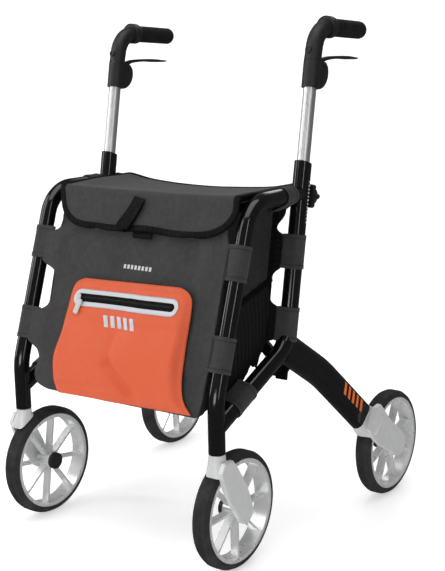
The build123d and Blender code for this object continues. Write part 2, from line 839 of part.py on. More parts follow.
with BuildPart() as seat_flap:
    with BuildSketch(front_plane(flap_low, flap_forward)):
        with BuildLine():
            flap_span = (flap_top - flap_low) * lean_length
            FilletPolyline(
                (-flap_half_width, flap_span),
                (-flap_half_width, flap_side_low),
                (-flap_low_half, 0),
                (flap_low_half, 0),
                (flap_half_width, flap_side_low),
                (flap_half_width, flap_span),
                radius=(20, 34, 34, 20),
            )
            Line((flap_half_width, flap_span), (-flap_half_width, flap_span))
        make_face()
    extrude(amount=flap_cloth)
write(seat_flap, "seat_flap")

strap_width = 20
strap_x = -8
strap_forward = flap_forward + flap_cloth * lean_length + 0.2
strap_outline = front_layer(flap_low + 2, seat_bottom - 6, strap_forward, 2.5)
write(slab(strap_outline, strap_x - strap_width / 2, strap_x + strap_width / 2), "pull_strap")

tab_low = 536
tab_left = 4
tab_right = 46
write(slab(front_layer(tab_low, flap_low - 1, panel, 3), tab_left, tab_right), "closure_tab")

# The pocket stands on the front panel, wider at its lower right than at its top.
pocket_depth = 7
pocket_low = 270
pocket_high = 464
pocket_plane = front_plane(pocket_low, panel)
pocket_span = (pocket_high - pocket_low) * lean_length
with BuildPart() as front_pocket:
    with BuildSketch(pocket_plane):
        with BuildLine():
            FilletPolyline(
                (-102, 0),
                (192, 4),
                (159, 38),
                (154, pocket_span),
                (-106, pocket_span),
                (-130, 56),
                radius=(14, 6, 24, 16, 14, 30),
                close=True,
            )
        make_face()
    extrude(amount=pocket_depth)
write(front_pocket, "front_pocket")

zip_length = 228
zip_height = 26
zip_line = 433
zip_middle = (20, (zip_line - pocket_low) * lean_length)
zip_base = 1.6
zip_plane = pocket_plane.offset(pocket_depth)
with BuildPart() as pocket_zip:
    with BuildSketch(zip_plane):
        with Locations(zip_middle):
            SlotOverall(zip_length, zip_height)
    extrude(amount=zip_base)
    with BuildSketch(zip_plane.offset(zip_base)):
        with Locations(zip_middle):
            SlotOverall(zip_length - 18, 6)
    extrude(amount=1)
write(pocket_zip, "pocket_zip")

puller_x = zip_middle[0] - zip_length / 2 + 14
slider_plane = zip_plane.offset(zip_base + 1 + soft_gap)
with BuildPart() as zip_puller:
    with BuildSketch(slider_plane):
        with Locations((puller_x, zip_middle[1])):
            RectangleRounded(8, 11, 2)
    extrude(amount=3)
    with BuildSketch(slider_plane):
        with Locations((puller_x - 1, zip_middle[1] - 13)):
            RectangleRounded(9, 22, 3)
    extrude(amount=2)
write(zip_puller, "zip_puller")
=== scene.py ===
"""Looks of a folding four-wheeled walker: finishes, cloth, light and camera round its CAD frame."""

import json
import math

import bmesh
import bpy
import numpy as np
from mathutils import Matrix, Vector, noise


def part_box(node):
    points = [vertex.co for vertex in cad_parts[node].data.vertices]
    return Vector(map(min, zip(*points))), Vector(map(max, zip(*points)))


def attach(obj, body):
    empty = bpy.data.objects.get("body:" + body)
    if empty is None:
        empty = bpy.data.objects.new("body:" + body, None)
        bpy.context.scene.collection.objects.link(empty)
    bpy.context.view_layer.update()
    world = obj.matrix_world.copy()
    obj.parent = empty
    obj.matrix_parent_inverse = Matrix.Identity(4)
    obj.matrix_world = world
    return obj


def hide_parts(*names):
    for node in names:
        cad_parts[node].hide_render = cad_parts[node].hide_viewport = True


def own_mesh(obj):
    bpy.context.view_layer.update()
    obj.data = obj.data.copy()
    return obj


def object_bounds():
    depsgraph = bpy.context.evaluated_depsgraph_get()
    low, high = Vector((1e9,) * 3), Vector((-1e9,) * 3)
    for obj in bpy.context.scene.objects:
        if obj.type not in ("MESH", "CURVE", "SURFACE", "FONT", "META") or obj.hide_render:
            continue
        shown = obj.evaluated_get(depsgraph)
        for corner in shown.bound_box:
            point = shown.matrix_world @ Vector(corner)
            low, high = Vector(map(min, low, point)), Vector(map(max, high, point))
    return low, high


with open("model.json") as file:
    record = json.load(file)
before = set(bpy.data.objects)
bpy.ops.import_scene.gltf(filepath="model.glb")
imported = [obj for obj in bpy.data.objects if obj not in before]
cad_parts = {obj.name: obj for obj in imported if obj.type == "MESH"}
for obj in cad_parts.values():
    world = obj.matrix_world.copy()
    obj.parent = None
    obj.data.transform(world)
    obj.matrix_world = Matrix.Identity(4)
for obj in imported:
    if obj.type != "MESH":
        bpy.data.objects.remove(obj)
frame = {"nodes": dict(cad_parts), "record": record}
cad_low, cad_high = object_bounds()
nodes = frame["nodes"]
scene = bpy.context.scene

# ---- sizes, in metres ----
wheelbase = 0.436
frame_x = 0.220  # the middle plane of each side frame
front_tube_radius, upright_radius = 0.014, 0.015
front_lean, upright_lean = 0.336, 0.183  # how far back each tube leans per metre of height
panel_gap = 0.016  # from the front tube's axis to the bag's front face

sides = ((1, "left"), (-1, "right"))
CLOTH_UV = "cloth"


def back(distance):
    """Y of a point that lies this far behind the front axle."""
    return distance - wheelbase / 2


def front_y(height):
    """Y of the leaning front tube's axis at a height."""
    return back(front_lean * (height - 0.300) - 0.050)


def upright_y(height):
    """Y of the rear upright's axis at a height."""
    return back(0.153 + upright_lean * (height - 0.346))


def panel_y(height, forward=0.0):
    """Y of the bag's front face at a height, or of a layer this far in front of it."""
    return front_y(height) - panel_gap - forward


def smooth(t):
    return t * t * (3 - 2 * t)


def along(place, knots):
    """A value on a smooth line through (place, value) knots, level past both ends."""
    if place <= knots[0][0]:
        return knots[0][1]
    if place >= knots[-1][0]:
        return knots[-1][1]
    rises = [(b[1] - a[1]) / (b[0] - a[0]) for a, b in zip(knots, knots[1:])]
    slopes = [2 * a * b / (a + b) if a * b > 0 else 0.0 for a, b in zip(rises, rises[1:])]
    slopes = [rises[0], *slopes, rises[-1]]
    at = next(index for index in range(len(rises)) if place < knots[index + 1][0])
    (low, first), (high, second) = knots[at], knots[at + 1]
    t = (place - low) / (high - low)
    value = first + (second - first) * smooth(t)
    bend = slopes[at] * t * (1 - t) ** 2 - slopes[at + 1] * t * t * (1 - t)
    return value + bend * (high - low)


def hump(place, centre, width):
    """1 at the centre, easing to 0 at a distance of width."""
    away = abs(place - centre) / width
    return 0.0 if away >= 1 else smooth(1 - away)


# ---- camera ----
camera_place = Vector((1.2765, -1.6653, 0.8469))
camera_azimuth = math.radians(37.6)
camera_elevation = math.radians(11.6)
camera_roll = math.radians(-1.3)

camera = bpy.data.objects.new("camera", bpy.data.cameras.new("camera"))
scene.collection.objects.link(camera)
scene.camera = camera
camera.matrix_world = (
    Matrix.Translation(camera_place)
    @ Matrix.Rotation(camera_azimuth, 4, "Z")
    @ Matrix.Rotation(math.pi / 2 - camera_elevation, 4, "X")
    @ Matrix.Rotation(camera_roll, 4, "Z")
)
camera.data.sensor_width = 36
camera.data.lens = 72.7
camera.data.shift_x = 0.0333

# ---- node helpers ----
finishes = {}


def wire(tree, socket, value):
    """Link the socket to a node's output, or set its own value."""
    if isinstance(value, bpy.types.NodeSocket):
        tree.links.new(value, socket)
    else:
        socket.default_value = value


def node(tree, kind, sockets, output=0, **settings):
    """Add a shader node, wire its sockets, and return one of its outputs."""
    made = tree.nodes.new("ShaderNode" + kind)
    for key, value in settings.items():
        setattr(made, key, value)
    for key, value in sockets.items():
        wire(tree, made.inputs[key], value)
    return made.outputs[output]


def new_material(name, colour, roughness, **even):
    """A material whose even values sit on the shader's own sockets."""
    material = bpy.data.materials.new(name)
    material.use_nodes = True
    material.diffuse_color = (*colour, 1)
    shader = material.node_tree.nodes["Principled BSDF"]
    shader.inputs["Base Color"].default_value = (*colour, 1)
    shader.inputs["Roughness"].default_value = roughness
    for socket, value in even.items():
        shader.inputs[socket.replace("_", " ").title().replace("Ior", "IOR")].default_value = value
    finishes[name] = material
    return material, material.node_tree, shader


def row_place(tree, scale=(1, 1, 1)):
    """The point's place in the row frame, stretched on each axis."""
    return node(tree, "Mapping", {"Vector": node(tree, "TexCoord", {}, 3), "Scale": scale})


def cloth_place(tree, scale=(1, 1, 1)):
    """The point's place on the cut cloth, in metres, stretched on each axis."""
    place = node(tree, "UVMap", {}, uv_map=CLOTH_UV)
    return node(tree, "Mapping", {"Vector": place, "Scale": scale})


def grain(tree, spot, scale, low=0.0, high=1.0, detail=3.0):
    """Noise spread evenly from low to high."""
    cloud = node(tree, "TexNoise", {"Vector": spot, "Scale": scale, "Detail": detail})
    ends = {"Value": cloud, "From Min": 0.32, "From Max": 0.68, "To Min": low, "To Max": high}
    return node(tree, "MapRange", ends)


def blend_colour(tree, share, first, second):
    """From the first colour at 0 to the second at 1."""
    return node(tree, "Mix", {0: share, 6: (*first, 1), 7: (*second, 1)}, 2, data_type="RGBA")


def maths(tree, operation, first, second):
    """One number out of two."""
    return node(tree, "Math", {0: first, 1: second}, operation=operation)


def dress(made, colours, gloss, height, depth, strength=1.0):
    """Give a material its colours, its gloss, and a height pattern of that depth in metres."""
    material, tree, shader = made
    bump = node(tree, "Bump", {"Height": height, "Distance": depth, "Strength": strength})
    for socket, value in (("Base Color", colours), ("Roughness", gloss), ("Normal", bump)):
        tree.links.new(value, shader.inputs[socket])
    return material


def shade(colour, factor):
    return tuple(min(1.0, c * factor) for c in colour)


# ---- finishes of the hard parts ----


def moulded(name, colour, roughness, spread, pits, depth, wear=1.3, **even):
    """Paint or plastic: cloudy gloss, fine pits, and rubbed patches that are a little lighter."""
    made = new_material(name, colour, roughness, **even)
    tree, spot = made[1], row_place(made[1])
    rubbed = blend_colour(tree, grain(tree, spot, 55, -0.7, 1.0, 6), colour, shade(colour, wear))
    gloss = grain(tree, spot, 14, roughness - spread, roughness + spread)
    return dress(made, rubbed, gloss, grain(tree, spot, pits, detail=1), depth)


def brushed(name, colour, roughness, stretch, depth):
    """Metal drawn lengthways: long streaks in gloss and height."""
    made = new_material(name, colour, roughness, metallic=1.0)
    tree = made[1]
    streaks = grain(tree, row_place(tree, stretch), 30, detail=6)
    ends = {"Value": streaks, "To Min": roughness - 0.07, "To Max": roughness + 0.09}
    return dress(made, blend_colour(tree, streaks, shade(colour, 0.86), shade(colour, 1.06)),
                 node(tree, "MapRange", ends), streaks, depth, 0.35)


def tyre_rubber(name, colour):
    """Moulded rubber with a dusty bloom and a fine grain."""
    made = new_material(name, colour, 0.78)
    tree, spot = made[1], row_place(made[1])
    bloom = blend_colour(tree, grain(tree, spot, 40, -0.3, 0.7, 5), colour, shade(colour, 2.1))
    return dress(made, bloom, grain(tree, spot, 90, 0.66, 0.88),
                 grain(tree, spot, 900, detail=2), 0.0002)


def grip_foam(name, colour):
    """Soft matte handle cover with close cells."""
    made = new_material(name, colour, 0.85, specular_ior_level=0.3)
    tree, spot = made[1], row_place(made[1])
    cells = node(tree, "TexVoronoi", {"Vector": spot, "Scale": 700})
    worn = blend_colour(tree, grain(tree, spot, 35, -0.4, 0.8, 4), colour, shade(colour, 1.8))
    return dress(made, worn, grain(tree, spot, 60, 0.72, 0.92), cells, 0.0004, 0.7)


# ---- finishes of the cloth ----


def bands(tree, pitch, way):
    """Even waves over the cut cloth, one for each pitch in metres."""
    sockets = {"Vector": cloth_place(tree), "Scale": 1 / pitch / 20}
    return node(tree, "TexWave", sockets, bands_direction=way)


def woven(name, dark, light, yarn, roughness=0.9, slub=0.5, depth=0.0002, **even):
    """Crossing yarns, each with its own shade, on a soft larger cloud."""
    made = new_material(name, light, roughness, **even)
    tree, spot = made[1], cloth_place(made[1])
    close, loose = 1 / yarn, 0.03 / yarn
    warp, weft = (grain(tree, cloth_place(tree, scale), 1, detail=1)
                  for scale in ((close, loose, 1), (loose, close, 1)))
    mixed = maths(tree, "MULTIPLY", maths(tree, "ADD", warp, weft), 0.5 * (1 - slub))
    broad, cloud = grain(tree, cloth_place(tree, (1, 0.35, 1)), 170), grain(tree, spot, 28)
    for pattern, weight in ((broad, 0.6), (cloud, 0.4)):
        mixed = maths(tree, "ADD", mixed, maths(tree, "MULTIPLY", pattern, slub * weight))
    weave = maths(tree, "MULTIPLY", bands(tree, yarn, "X"), bands(tree, yarn, "Y"))
    return dress(made, blend_colour(tree, mixed, dark, light),
                 grain(tree, spot, 90, roughness - 0.08, roughness + 0.06), weave, depth, 0.8)


def ribbed_web(name, colour, rib):
    """Flat webbing: fine ribs across it, with lighter crowns."""
    made = new_material(name, colour, 0.72, specular_ior_level=0.15)
    tree, spot = made[1], cloth_place(made[1])
    ribs = bands(tree, rib, "Y")
    shares = maths(tree, "MULTIPLY", ribs, grain(tree, spot, 600, 0.0, 0.6, 2))
    return dress(made, blend_colour(tree, shares, shade(colour, 0.6), shade(colour, 2.2)),
                 grain(tree, spot, 120, 0.62, 0.84), ribs, 0.0003, 0.8)


def mesh_cloth(name, colour, pitch):
    """Knitted net: small dark cells between lighter threads."""
    made = new_material(name, colour, 0.7, specular_ior_level=0.2)
    tree, spot = made[1], cloth_place(made[1])
    cells = node(tree, "TexVoronoi", {"Vector": spot, "Scale": 1 / pitch, "Randomness": 0.25})
    return dress(made, blend_colour(tree, cells, shade(colour, 0.5), shade(colour, 1.9)),
                 grain(tree, spot, 60, 0.6, 0.8), cells, 0.0004, 0.8)


def reflective_tape(name, colour):
    """Silver tape with a close pattern of glass beads."""
    made = new_material(name, colour, 0.4, metallic=0.15)
    tree, spot = made[1], cloth_place(made[1])
    beads = node(tree, "TexVoronoi", {"Vector": spot, "Scale": 1400})
    return dress(made, blend_colour(tree, beads, colour, shade(colour, 1.15)),
                 grain(tree, spot, 70, 0.32, 0.5), beads, 0.0001, 0.6)


charcoal = (0.0345, 0.0333, 0.0351)
orange = (0.71, 0.106, 0.033)
moulded("gloss_black", (0.003, 0.003, 0.0033), 0.14, 0.02, 90, 0.000002, coat_weight=0.15,
        coat_roughness=0.08)
brushed("bright_aluminium", (0.90, 0.90, 0.91), 0.40, (20, 20, 0.6), 0.000008)
moulded("fork_grey", (0.70, 0.705, 0.71), 0.38, 0.04, 900, 0.00001, 1.05, metallic=0.2)
moulded("wheel_silver", (0.84, 0.845, 0.85), 0.26, 0.04, 900, 0.00001, 1.05, metallic=0.45)
tyre_rubber("tyre_black", (0.021, 0.021, 0.022))
black_plastic = moulded("black_plastic", (0.011, 0.011, 0.0115), 0.5, 0.06, 1300, 0.00006)
grip_foam("grip_black", (0.007, 0.007, 0.0075))
brushed("steel", (0.52, 0.52, 0.53), 0.3, (4, 4, 4), 0.00001)
charcoal_cloth = woven("charcoal_cloth", shade(charcoal, 0.70), shade(charcoal, 1.30), 0.0009,
                       sheen_weight=0.08)
lining_cloth = woven("lining_cloth", (0.008, 0.008, 0.009), (0.016, 0.016, 0.017), 0.0007)
webbing = ribbed_web("webbing_black", (0.0038, 0.0038, 0.0042), 0.0016)
orange_cloth = woven("orange_cloth", shade(orange, 0.93), shade(orange, 1.06), 0.0006, 0.62, 0.3,
                     0.0001)
reflective = reflective_tape("reflective_trim", (0.54, 0.555, 0.585))
puller_grey = moulded("puller_grey", (0.62, 0.62, 0.62), 0.42, 0.04, 900, 0.00002, 1.05)
# The bag's sides: the charcoal cloth made darker, painted shade for the side panels that face away
# from the light.
shaded_side_cloth = woven("shaded_side_cloth", shade(charcoal, 0.45), shade(charcoal, 0.80), 0.0009)
mesh_black = mesh_cloth("mesh_black", (0.009, 0.009, 0.0095), 0.0022)
thread_black = ribbed_web("thread_black", (0.012, 0.012, 0.013), 0.0008)
orange_paint = moulded("orange_paint", (0.78, 0.16, 0.02), 0.45, 0.05, 900, 0.00001, 1.1)

for part in frame["record"]["subparts"]:
    for material_slot in nodes[part["node"]].material_slots:
        material_slot.material = finishes[part["material_slot"]]

# ---- mesh helpers ----


def make_piece(name, points, faces, places, finish):
    """A mesh object from points, quads, and each quad corner's place on the cut cloth."""
    mesh = bpy.data.meshes.new(name)
    mesh.from_pydata([tuple(map(float, p)) for p in points], [], faces)
    layer = mesh.uv_layers.new(name=CLOTH_UV)
    layer.data.foreach_set("uv", np.array(places, np.float32).ravel())
    for material in finish:
        mesh.materials.append(material)
    mesh.polygons.foreach_set("use_smooth", [True] * len(faces))
    piece = bpy.data.objects.new(name, mesh)
    scene.collection.objects.link(piece)
    return piece


def grid_faces(grid, closed=False):
    """Quads over rows of points, with their places measured along the cloth."""
    rows, columns = grid.shape[:2]
    ring = np.concatenate([grid, grid[:, :1]], 1) if closed else grid
    across = np.linalg.norm(np.diff(ring, axis=1), axis=2).mean(0)
    down = np.linalg.norm(np.diff(ring, axis=0), axis=2).mean(1)
    u, v = np.append(0, np.cumsum(across)), np.append(0, np.cumsum(down))
    faces, places = [], []
    for row in range(rows - 1):
        for column in range(columns if closed else columns - 1):
            corners = ((row, column), (row, column + 1), (row + 1, column + 1), (row + 1, column))
            faces.append([i * columns + j % columns for i, j in corners])
            places += [(u[j], v[i]) for i, j in corners]
    return faces, places


def grid_piece(name, grid, finish, closed=False):
    """A sheet over rows of points; closed joins each row's end to its start."""
    grid = np.asarray(grid, float)
    faces, places = grid_faces(grid, closed)
    return make_piece(name, grid.reshape(-1, 3), faces, places, [finish])


def points_of(piece):
    return np.array([v.co for v in piece.data.vertices], float).reshape(-1, 3)


def move_points(piece, points):
    piece.data.vertices.foreach_set("co", points.astype(np.float32).ravel())
    piece.data.update()


def thicken(piece, thickness, side=0.0, lining=0):
    """Round the sheet off and give it any thickness; side 1 grows outwards, -1 inwards."""
    soften = piece.modifiers.new("soften", "SUBSURF")
    soften.levels = soften.render_levels = 1
    if thickness:
        body = piece.modifiers.new("body", "SOLIDIFY")
        body.thickness, body.offset, body.material_offset = thickness, side, lining
    depsgraph = bpy.context.evaluated_depsgraph_get()
    made = bpy.data.meshes.new_from_object(
        piece.evaluated_get(depsgraph), preserve_all_data_layers=True, depsgraph=depsgraph
    )
    piece.modifiers.clear()
    piece.data = made


def settle(piece, held, slack=0.01, swell=0.0, pull=1.0, limit=0.005, steps=18):
    """Let the cloth move between the places that hold it, and keep the shape it reaches."""
    start = points_of(piece)
    group = piece.vertex_groups.new(name="held")
    group.add([int(i) for i in np.flatnonzero(held)], 1.0, "REPLACE")
    cloth = piece.modifiers.new("cloth", "CLOTH")
    stuff = {"quality": 6, "mass": 0.25, "tension_stiffness": 25, "compression_stiffness": 25,
             "shear_stiffness": 8, "bending_stiffness": 1.5, "vertex_group_mass": group.name,
             "shrink_min": -slack}
    if swell:
        stuff.update(use_pressure=True, uniform_pressure_force=swell)
    for key, value in stuff.items():
        setattr(cloth.settings, key, value)
    cloth.settings.effector_weights.gravity = pull
    for step in range(1, steps + 1):
        scene.frame_set(step)
    evaluated = piece.evaluated_get(bpy.context.evaluated_depsgraph_get())
    moved = np.array([v.co for v in evaluated.data.vertices], float) - start
    size = np.maximum(np.linalg.norm(moved, axis=1, keepdims=True), 1e-9)
    piece.modifiers.remove(cloth)
    scene.frame_set(1)
    move_points(piece, start + moved * np.minimum(1, limit / size))


def even_out(grid, rounds, first_row=False):
    """Average the grid's values with their neighbours; its edges follow the values inside them."""
    for _ in range(rounds):
        grid[1:-1] = (grid[:-2] + grid[1:-1] + grid[2:]) / 3
        grid[:, 1:-1] = (grid[:, :-2] + grid[:, 1:-1] + grid[:, 2:]) / 3
        if first_row:
            grid[0] = grid[1]
        grid[-1] = grid[-2]
        grid[:, 0], grid[:, -1] = grid[:, 1], grid[:, -2]


def calm(piece, start):
    """Spread the cloth's movement evenly over its grid, so that its edges run smoothly."""
    moved = points_of(piece).reshape(start.shape) - start
    even_out(moved, 6)
    move_points(piece, (start + moved).reshape(-1, 3))
    return start + moved


def ripple(grid, direction, amount, size, seed):
    """Push points along a direction by smooth, seeded noise."""
    flat = grid.reshape(-1, 3)
    shift = [noise.noise(Vector(p) / size + Vector((seed, 0, 0))) for p in flat]
    return grid + np.reshape(shift, grid.shape[:2] + (1,)) * amount * np.array(direction)


def unit(vectors):
    return vectors / np.maximum(np.linalg.norm(vectors, axis=-1, keepdims=True), 1e-12)


def surface_normals(grid):
    return unit(np.cross(np.gradient(grid, axis=1), np.gradient(grid, axis=0)))


def reach_along(path):
    """The distance along the path to each of its points."""
    return np.append(0, np.cumsum(np.linalg.norm(np.diff(path, axis=0), axis=1)))


def sample(wanted, at, rows):
    """The rows of values at the wanted places, read between the places that they belong to."""
    return np.stack([np.interp(wanted, at, column) for column in rows.T], 1)


def even_run(path, values):
    """The path in even steps with its sharp turns eased, and the values that go with it."""
    reach, step = reach_along(path), 0.004
    wanted = np.linspace(0, reach[-1], max(8, int(reach[-1] / step)))
    both = sample(wanted, reach, np.concatenate([path, values], axis=1))
    for _ in range(2):
        both[1:-1] = (both[:-2] + 2 * both[1:-1] + both[2:]) / 4
    return both[:, :3], unit(both[:, 3:])


def edge_frames(path, normal, middle):
    """For points along an edge: the way into the sheet, whose middle is given."""
    inward = unit(np.cross(normal, np.gradient(path, axis=0)))
    return inward * np.sign(((middle - path) * inward).sum())


def on_cloth(cloth, point, normal, lift):
    """The point moved along its normal until it lies this high on the cloth's outer face."""
    reach = 0.012  # how far off the cloth may lie on either side
    start = Vector(point + normal * reach)
    hit, spot, _, _ = cloth.ray_cast(start, Vector(-normal), distance=2 * reach)
    return np.array(spot) + normal * lift if hit else point


def bind_edge(name, path, inward, normal, width, proud, cloth=None):
    """A tape folded over an edge; its outer side follows the face of the cloth that is given."""
    lip, tape_cloth = 0.0011, 0.0026
    half = ((width, 0.2), (width, 1), (width * 0.5, 1.12), (0, 1), (-lip, 0.55))
    section = half + tuple((a, -b) for a, b in reversed(half))
    grid = []
    for p, i, n in zip(path, inward, normal):
        row = [p + i * a + n * b * proud for a, b in section]
        if cloth:
            row = [on_cloth(cloth, point, n, (b - 0.5) * tape_cloth) if a > 0 and b > 0 else point
                   for point, (a, b) in zip(row, section)]
        grid.append(row)
    piece = grid_piece(name, grid, webbing, closed=True)
    thicken(piece, 0)
    return piece


def stamped(name, stamps, quads, patch, finish):
    """One mesh of small equal shapes, from each one's points; patch is a face's size on cloth."""
    size = len(stamps[0])
    faces = [[size * number + corner for corner in quad]
             for number in range(len(stamps)) for quad in quads]
    places = [(0, 0), (patch[0], 0), patch, (0, patch[1])] * len(faces)
    return make_piece(name, [point for stamp in stamps for point in stamp], faces, places, [finish])


def quads_over(corners, steps):
    """Quads that start at these corners and go round by the same steps."""
    return [[corner + step for step in steps] for corner in corners]


def stitch_row(name, path, normal):
    """A row of short threads that lie on the cloth along a path."""
    gap, length, thick = 0.0042, 0.0029, 0.00045
    reach = reach_along(path)
    count = max(2, int(reach[-1] / gap))
    points = sample((np.arange(count) + 0.5) * reach[-1] / count, reach, path)
    forward = unit(np.gradient(points, axis=0))
    normals = unit(sample(np.linspace(0, 1, count), np.linspace(0, 1, len(normal)), normal))
    stamps = []
    for p, f, n, a in zip(points, forward, normals, np.cross(forward, normals)):
        stamps.append([])
        for end, rise in ((-1, 0), (-0.5, 1), (0.5, 1), (1, 0)):
            top = p + f * end * length / 2 + n * thick * rise
            stamps[-1] += [top + a * thick, top + n * thick * 0.4 * rise, top - a * thick]
    quads = quads_over((0, 1, 3, 4, 6, 7), (0, 3, 4, 1))
    return stamped(name, stamps, quads, (length / 3, thick), thread_black)


def sheet_edge(grid):
    """A sheet's edge: down its first column, along its last row and up its last column."""
    return np.concatenate([grid[:, 0], grid[-1, 1:-1], grid[::-1, -1]])


def bound_sheet(name, cloth, grid, body, width, proud, lift, drop=0.0, level_rows=False):
    """Tape and stitches along three edges of a sheet; lift is the side that they show on."""
    thread_inset, thread_lift = 0.0018, 0.0012
    normals = surface_normals(grid)
    normals *= np.sign((normals * lift).sum(axis=2, keepdims=True))
    if level_rows:
        normals[:] = unit(normals.mean(axis=1, keepdims=True))
        normals[-8:] = normals[-9]
    even_out(normals, 8, first_row=True)
    path, normal = even_run(sheet_edge(grid), sheet_edge(normals))
    path = path - normal * drop
    inward = edge_frames(path, normal, grid.reshape(-1, 3).mean(0))
    tape = bind_edge(f"{name}_tape", path, inward, normal, width, proud, cloth)
    threads = path + inward * (width - thread_inset)
    threads = np.array([on_cloth(cloth, p, n, thread_lift) for p, n in zip(threads, normal)])
    thread = stitch_row(f"{name}_thread", threads, normal)
    for piece in (tape, thread):
        mount(piece, body)
    return [tape, thread]


# Half the width that the fold presses flat, for the soft pieces on each body.
pressed_half = {"right_frame": 0.196, "zip_puller": 0.196, "right_seat_rail": 0.192,
                "seat_flap": 0.200}


def mount(piece, body, stands_for=(), pressed=True):
    """Make the piece move with its body, hide the parts it stands for, and give a pressed piece its
    own mesh.
    """
    if stands_for:
        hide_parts(*stands_for)
    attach(piece, body)
    if pressed and body in pressed_half:
        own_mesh(piece)


def cut_area(grid):
    """Area of a sheet before anything bends it."""
    grid = np.asarray(grid, float)
    a = grid[1:, 1:] - grid[:-1, :-1]
    b = grid[1:, :-1] - grid[:-1, 1:]
    return float(np.linalg.norm(np.cross(a, b), axis=2).sum() / 2)


def lay_sheet(name, grid, finish, thickness, body, stands_for=()):
    """Make, place and declare a sheet that needs no simulation."""
    piece = grid_piece(name, grid, finish)
    thicken(piece, thickness)
    mount(piece, body, stands_for)


# ---- bag: one shell of front, sides, back and floor ----
bag_half = 0.1945
bag_high, bag_back_high = 0.574, 0.586
floor_depth = 0.21
rear_gap = 0.028  # from the upright's axis to the bag's back
shell_cloth = 0.0026
front_rise = 0.0062  # the front's lower edge hangs this much higher at +X
front_columns, side_columns, shell_rows = 44, 52, 60

# Half the width of the front face at each height: wide at the loops, drawn in between them.
right_outline = (
    (0.266, 0.134), (0.269, 0.153), (0.275, 0.167), (0.285, 0.174), (0.296, 0.177), (0.309, 0.173),
    (0.322, 0.171), (0.332, 0.175), (0.337, 0.188), (0.341, 0.203), (0.393, 0.203), (0.396, 0.189),
    (0.401, 0.175), (0.408, 0.1665), (0.42, 0.1655), (0.456, 0.165), (0.466, 0.166), (0.471, 0.172),
    (0.475, 0.187), (0.478, 0.203), (0.529, 0.203), (0.533, 0.184), (0.541, 0.168), (0.551, 0.16),
    (0.574, 0.158),
)
left_outline = (
    (0.266, 0.188), (0.27, 0.197), (0.28, 0.203), (0.3, 0.205), (0.322, 0.202), (0.336, 0.204),
    (0.346, 0.209), (0.397, 0.209), (0.407, 0.205), (0.44, 0.2045), (0.475, 0.205), (0.483, 0.209),
    (0.533, 0.209), (0.542, 0.202), (0.554, 0.198), (0.574, 0.196),
)
side_foot = (
    (0, 0.266), (0.084, 0.268), (0.28, 0.275), (0.478, 0.288), (0.67, 0.304), (0.72, 0.313),
    (0.77, 0.325), (0.8, 0.325), (0.835, 0.315), (0.862, 0.314), (0.895, 0.33), (0.94, 0.341),
    (1, 0.354),
)
tube_inside = frame_x - front_tube_radius - 0.0025


def shell_point(x_share, y_share, up_share, side):
    """A point of the shell: across the front or back, or along a side, at a share of its height."""
    low = along(y_share, side_foot)
    low += front_rise * (x_share + 1) / 2 * (1 - smooth(min(1, y_share / 0.15)))
    high = bag_high + (bag_back_high - bag_high) * min(1, 8 * y_share)
    height = low + (high - low) * up_share
    fade = smooth(min(1, y_share / 0.22))
    halves = []
    for outline in (right_outline, left_outline):
        half = along(height, outline)
        half += (bag_half - half) * fade
        halves.append(min(half, tube_inside) if y_share > 0.008 else half)
    x = -halves[0] + (halves[0] + halves[1]) * (x_share + 1) / 2
    front, rear = panel_y(height), upright_y(height) - rear_gap
    y = front + (rear - front) * y_share
    if not side:
        y += 0.0022 * abs(x_share) ** 6 if y_share == 0 else 0.004 * (x_share**2 - 1)
    return (x, y, height)


def shell_ring(up_share):
    """One level of the shell, once round from its front right corner."""
    shares = np.linspace(-1, 1, front_columns + 1)[:-1]
    depths = np.linspace(0, 1, side_columns + 1)[:-1]
    ring = [shell_point(s, 0, up_share, False) for s in shares]
    ring += [shell_point(1, d, up_share, True) for d in depths]
    ring += [shell_point(-s, 1, up_share, False) for s in shares]
    ring += [shell_point(-1, 1 - d, up_share, True) for d in depths]
    return ring


shell_grid = np.array([shell_ring(share) for share in np.linspace(0, 1, shell_rows + 1)])
ring_count = 2 * (front_columns + side_columns)


def floor_index(i, j):
    """The ring's own point at the floor's edge, counted i from the front and j from the right."""
    if i == 0:
        return j
    if j == front_columns:
        return front_columns + i
    if i == side_columns:
        return front_columns + side_columns + front_columns - j
    if j == 0:
        return (2 * front_columns + side_columns + side_columns - i) % ring_count
    return None


def bag_shell():
    """The bag's cloth, open at the top, with a floor that sags from edge to edge."""
    floor_cell, floor_sag = 0.0088, 0.006
    faces, places = grid_faces(shell_grid, closed=True)
    points = list(shell_grid.reshape(-1, 3))
    lower = shell_grid[0]
    index = {}
    for i in range(side_columns + 1):
        for j in range(front_columns + 1):
            index[i, j] = floor_index(i, j)
            if index[i, j] is None:
                a, b = i / side_columns, j / front_columns
                right, left = lower[floor_index(i, 0)], lower[floor_index(i, front_columns)]
                front, rear = lower[floor_index(0, j)], lower[floor_index(side_columns, j)]
                across, along_depth = right * (1 - b) + left * b, front * (1 - a) + rear * a
                middle = np.array([along_depth[0], across[1], (across[2] + along_depth[2]) / 2])
                middle[2] -= floor_sag * math.sin(math.pi * a) * math.sin(math.pi * b)
                index[i, j] = len(points)
                points.append(middle)
    for i in range(side_columns):
        for j in range(front_columns):
            corners = ((i, j), (i + 1, j), (i + 1, j + 1), (i, j + 1))
            faces.append([index[c] for c in corners])
            places += [(c[1] * floor_cell, c[0] * floor_cell) for c in corners]
    # Each outer cloth is followed by the one that its inner face shows.
    # The sides take the darker copy of the charcoal cloth, which paints shade on them.
    hidden_slot, shaded_side_slot = 1, 3
    piece = make_piece("bag", points, faces, places,
                       [charcoal_cloth, lining_cloth, lining_cloth, shaded_side_cloth, lining_cloth])
    ring_faces = ring_count * shell_rows
    backs = range(front_columns + side_columns, 2 * front_columns + side_columns)
    for face in piece.data.polygons:
        column = face.index % ring_count
        if face.index >= ring_faces or column in backs:
            face.material_index = hidden_slot
        elif column >= front_columns:
            face.material_index = shaded_side_slot
    return piece


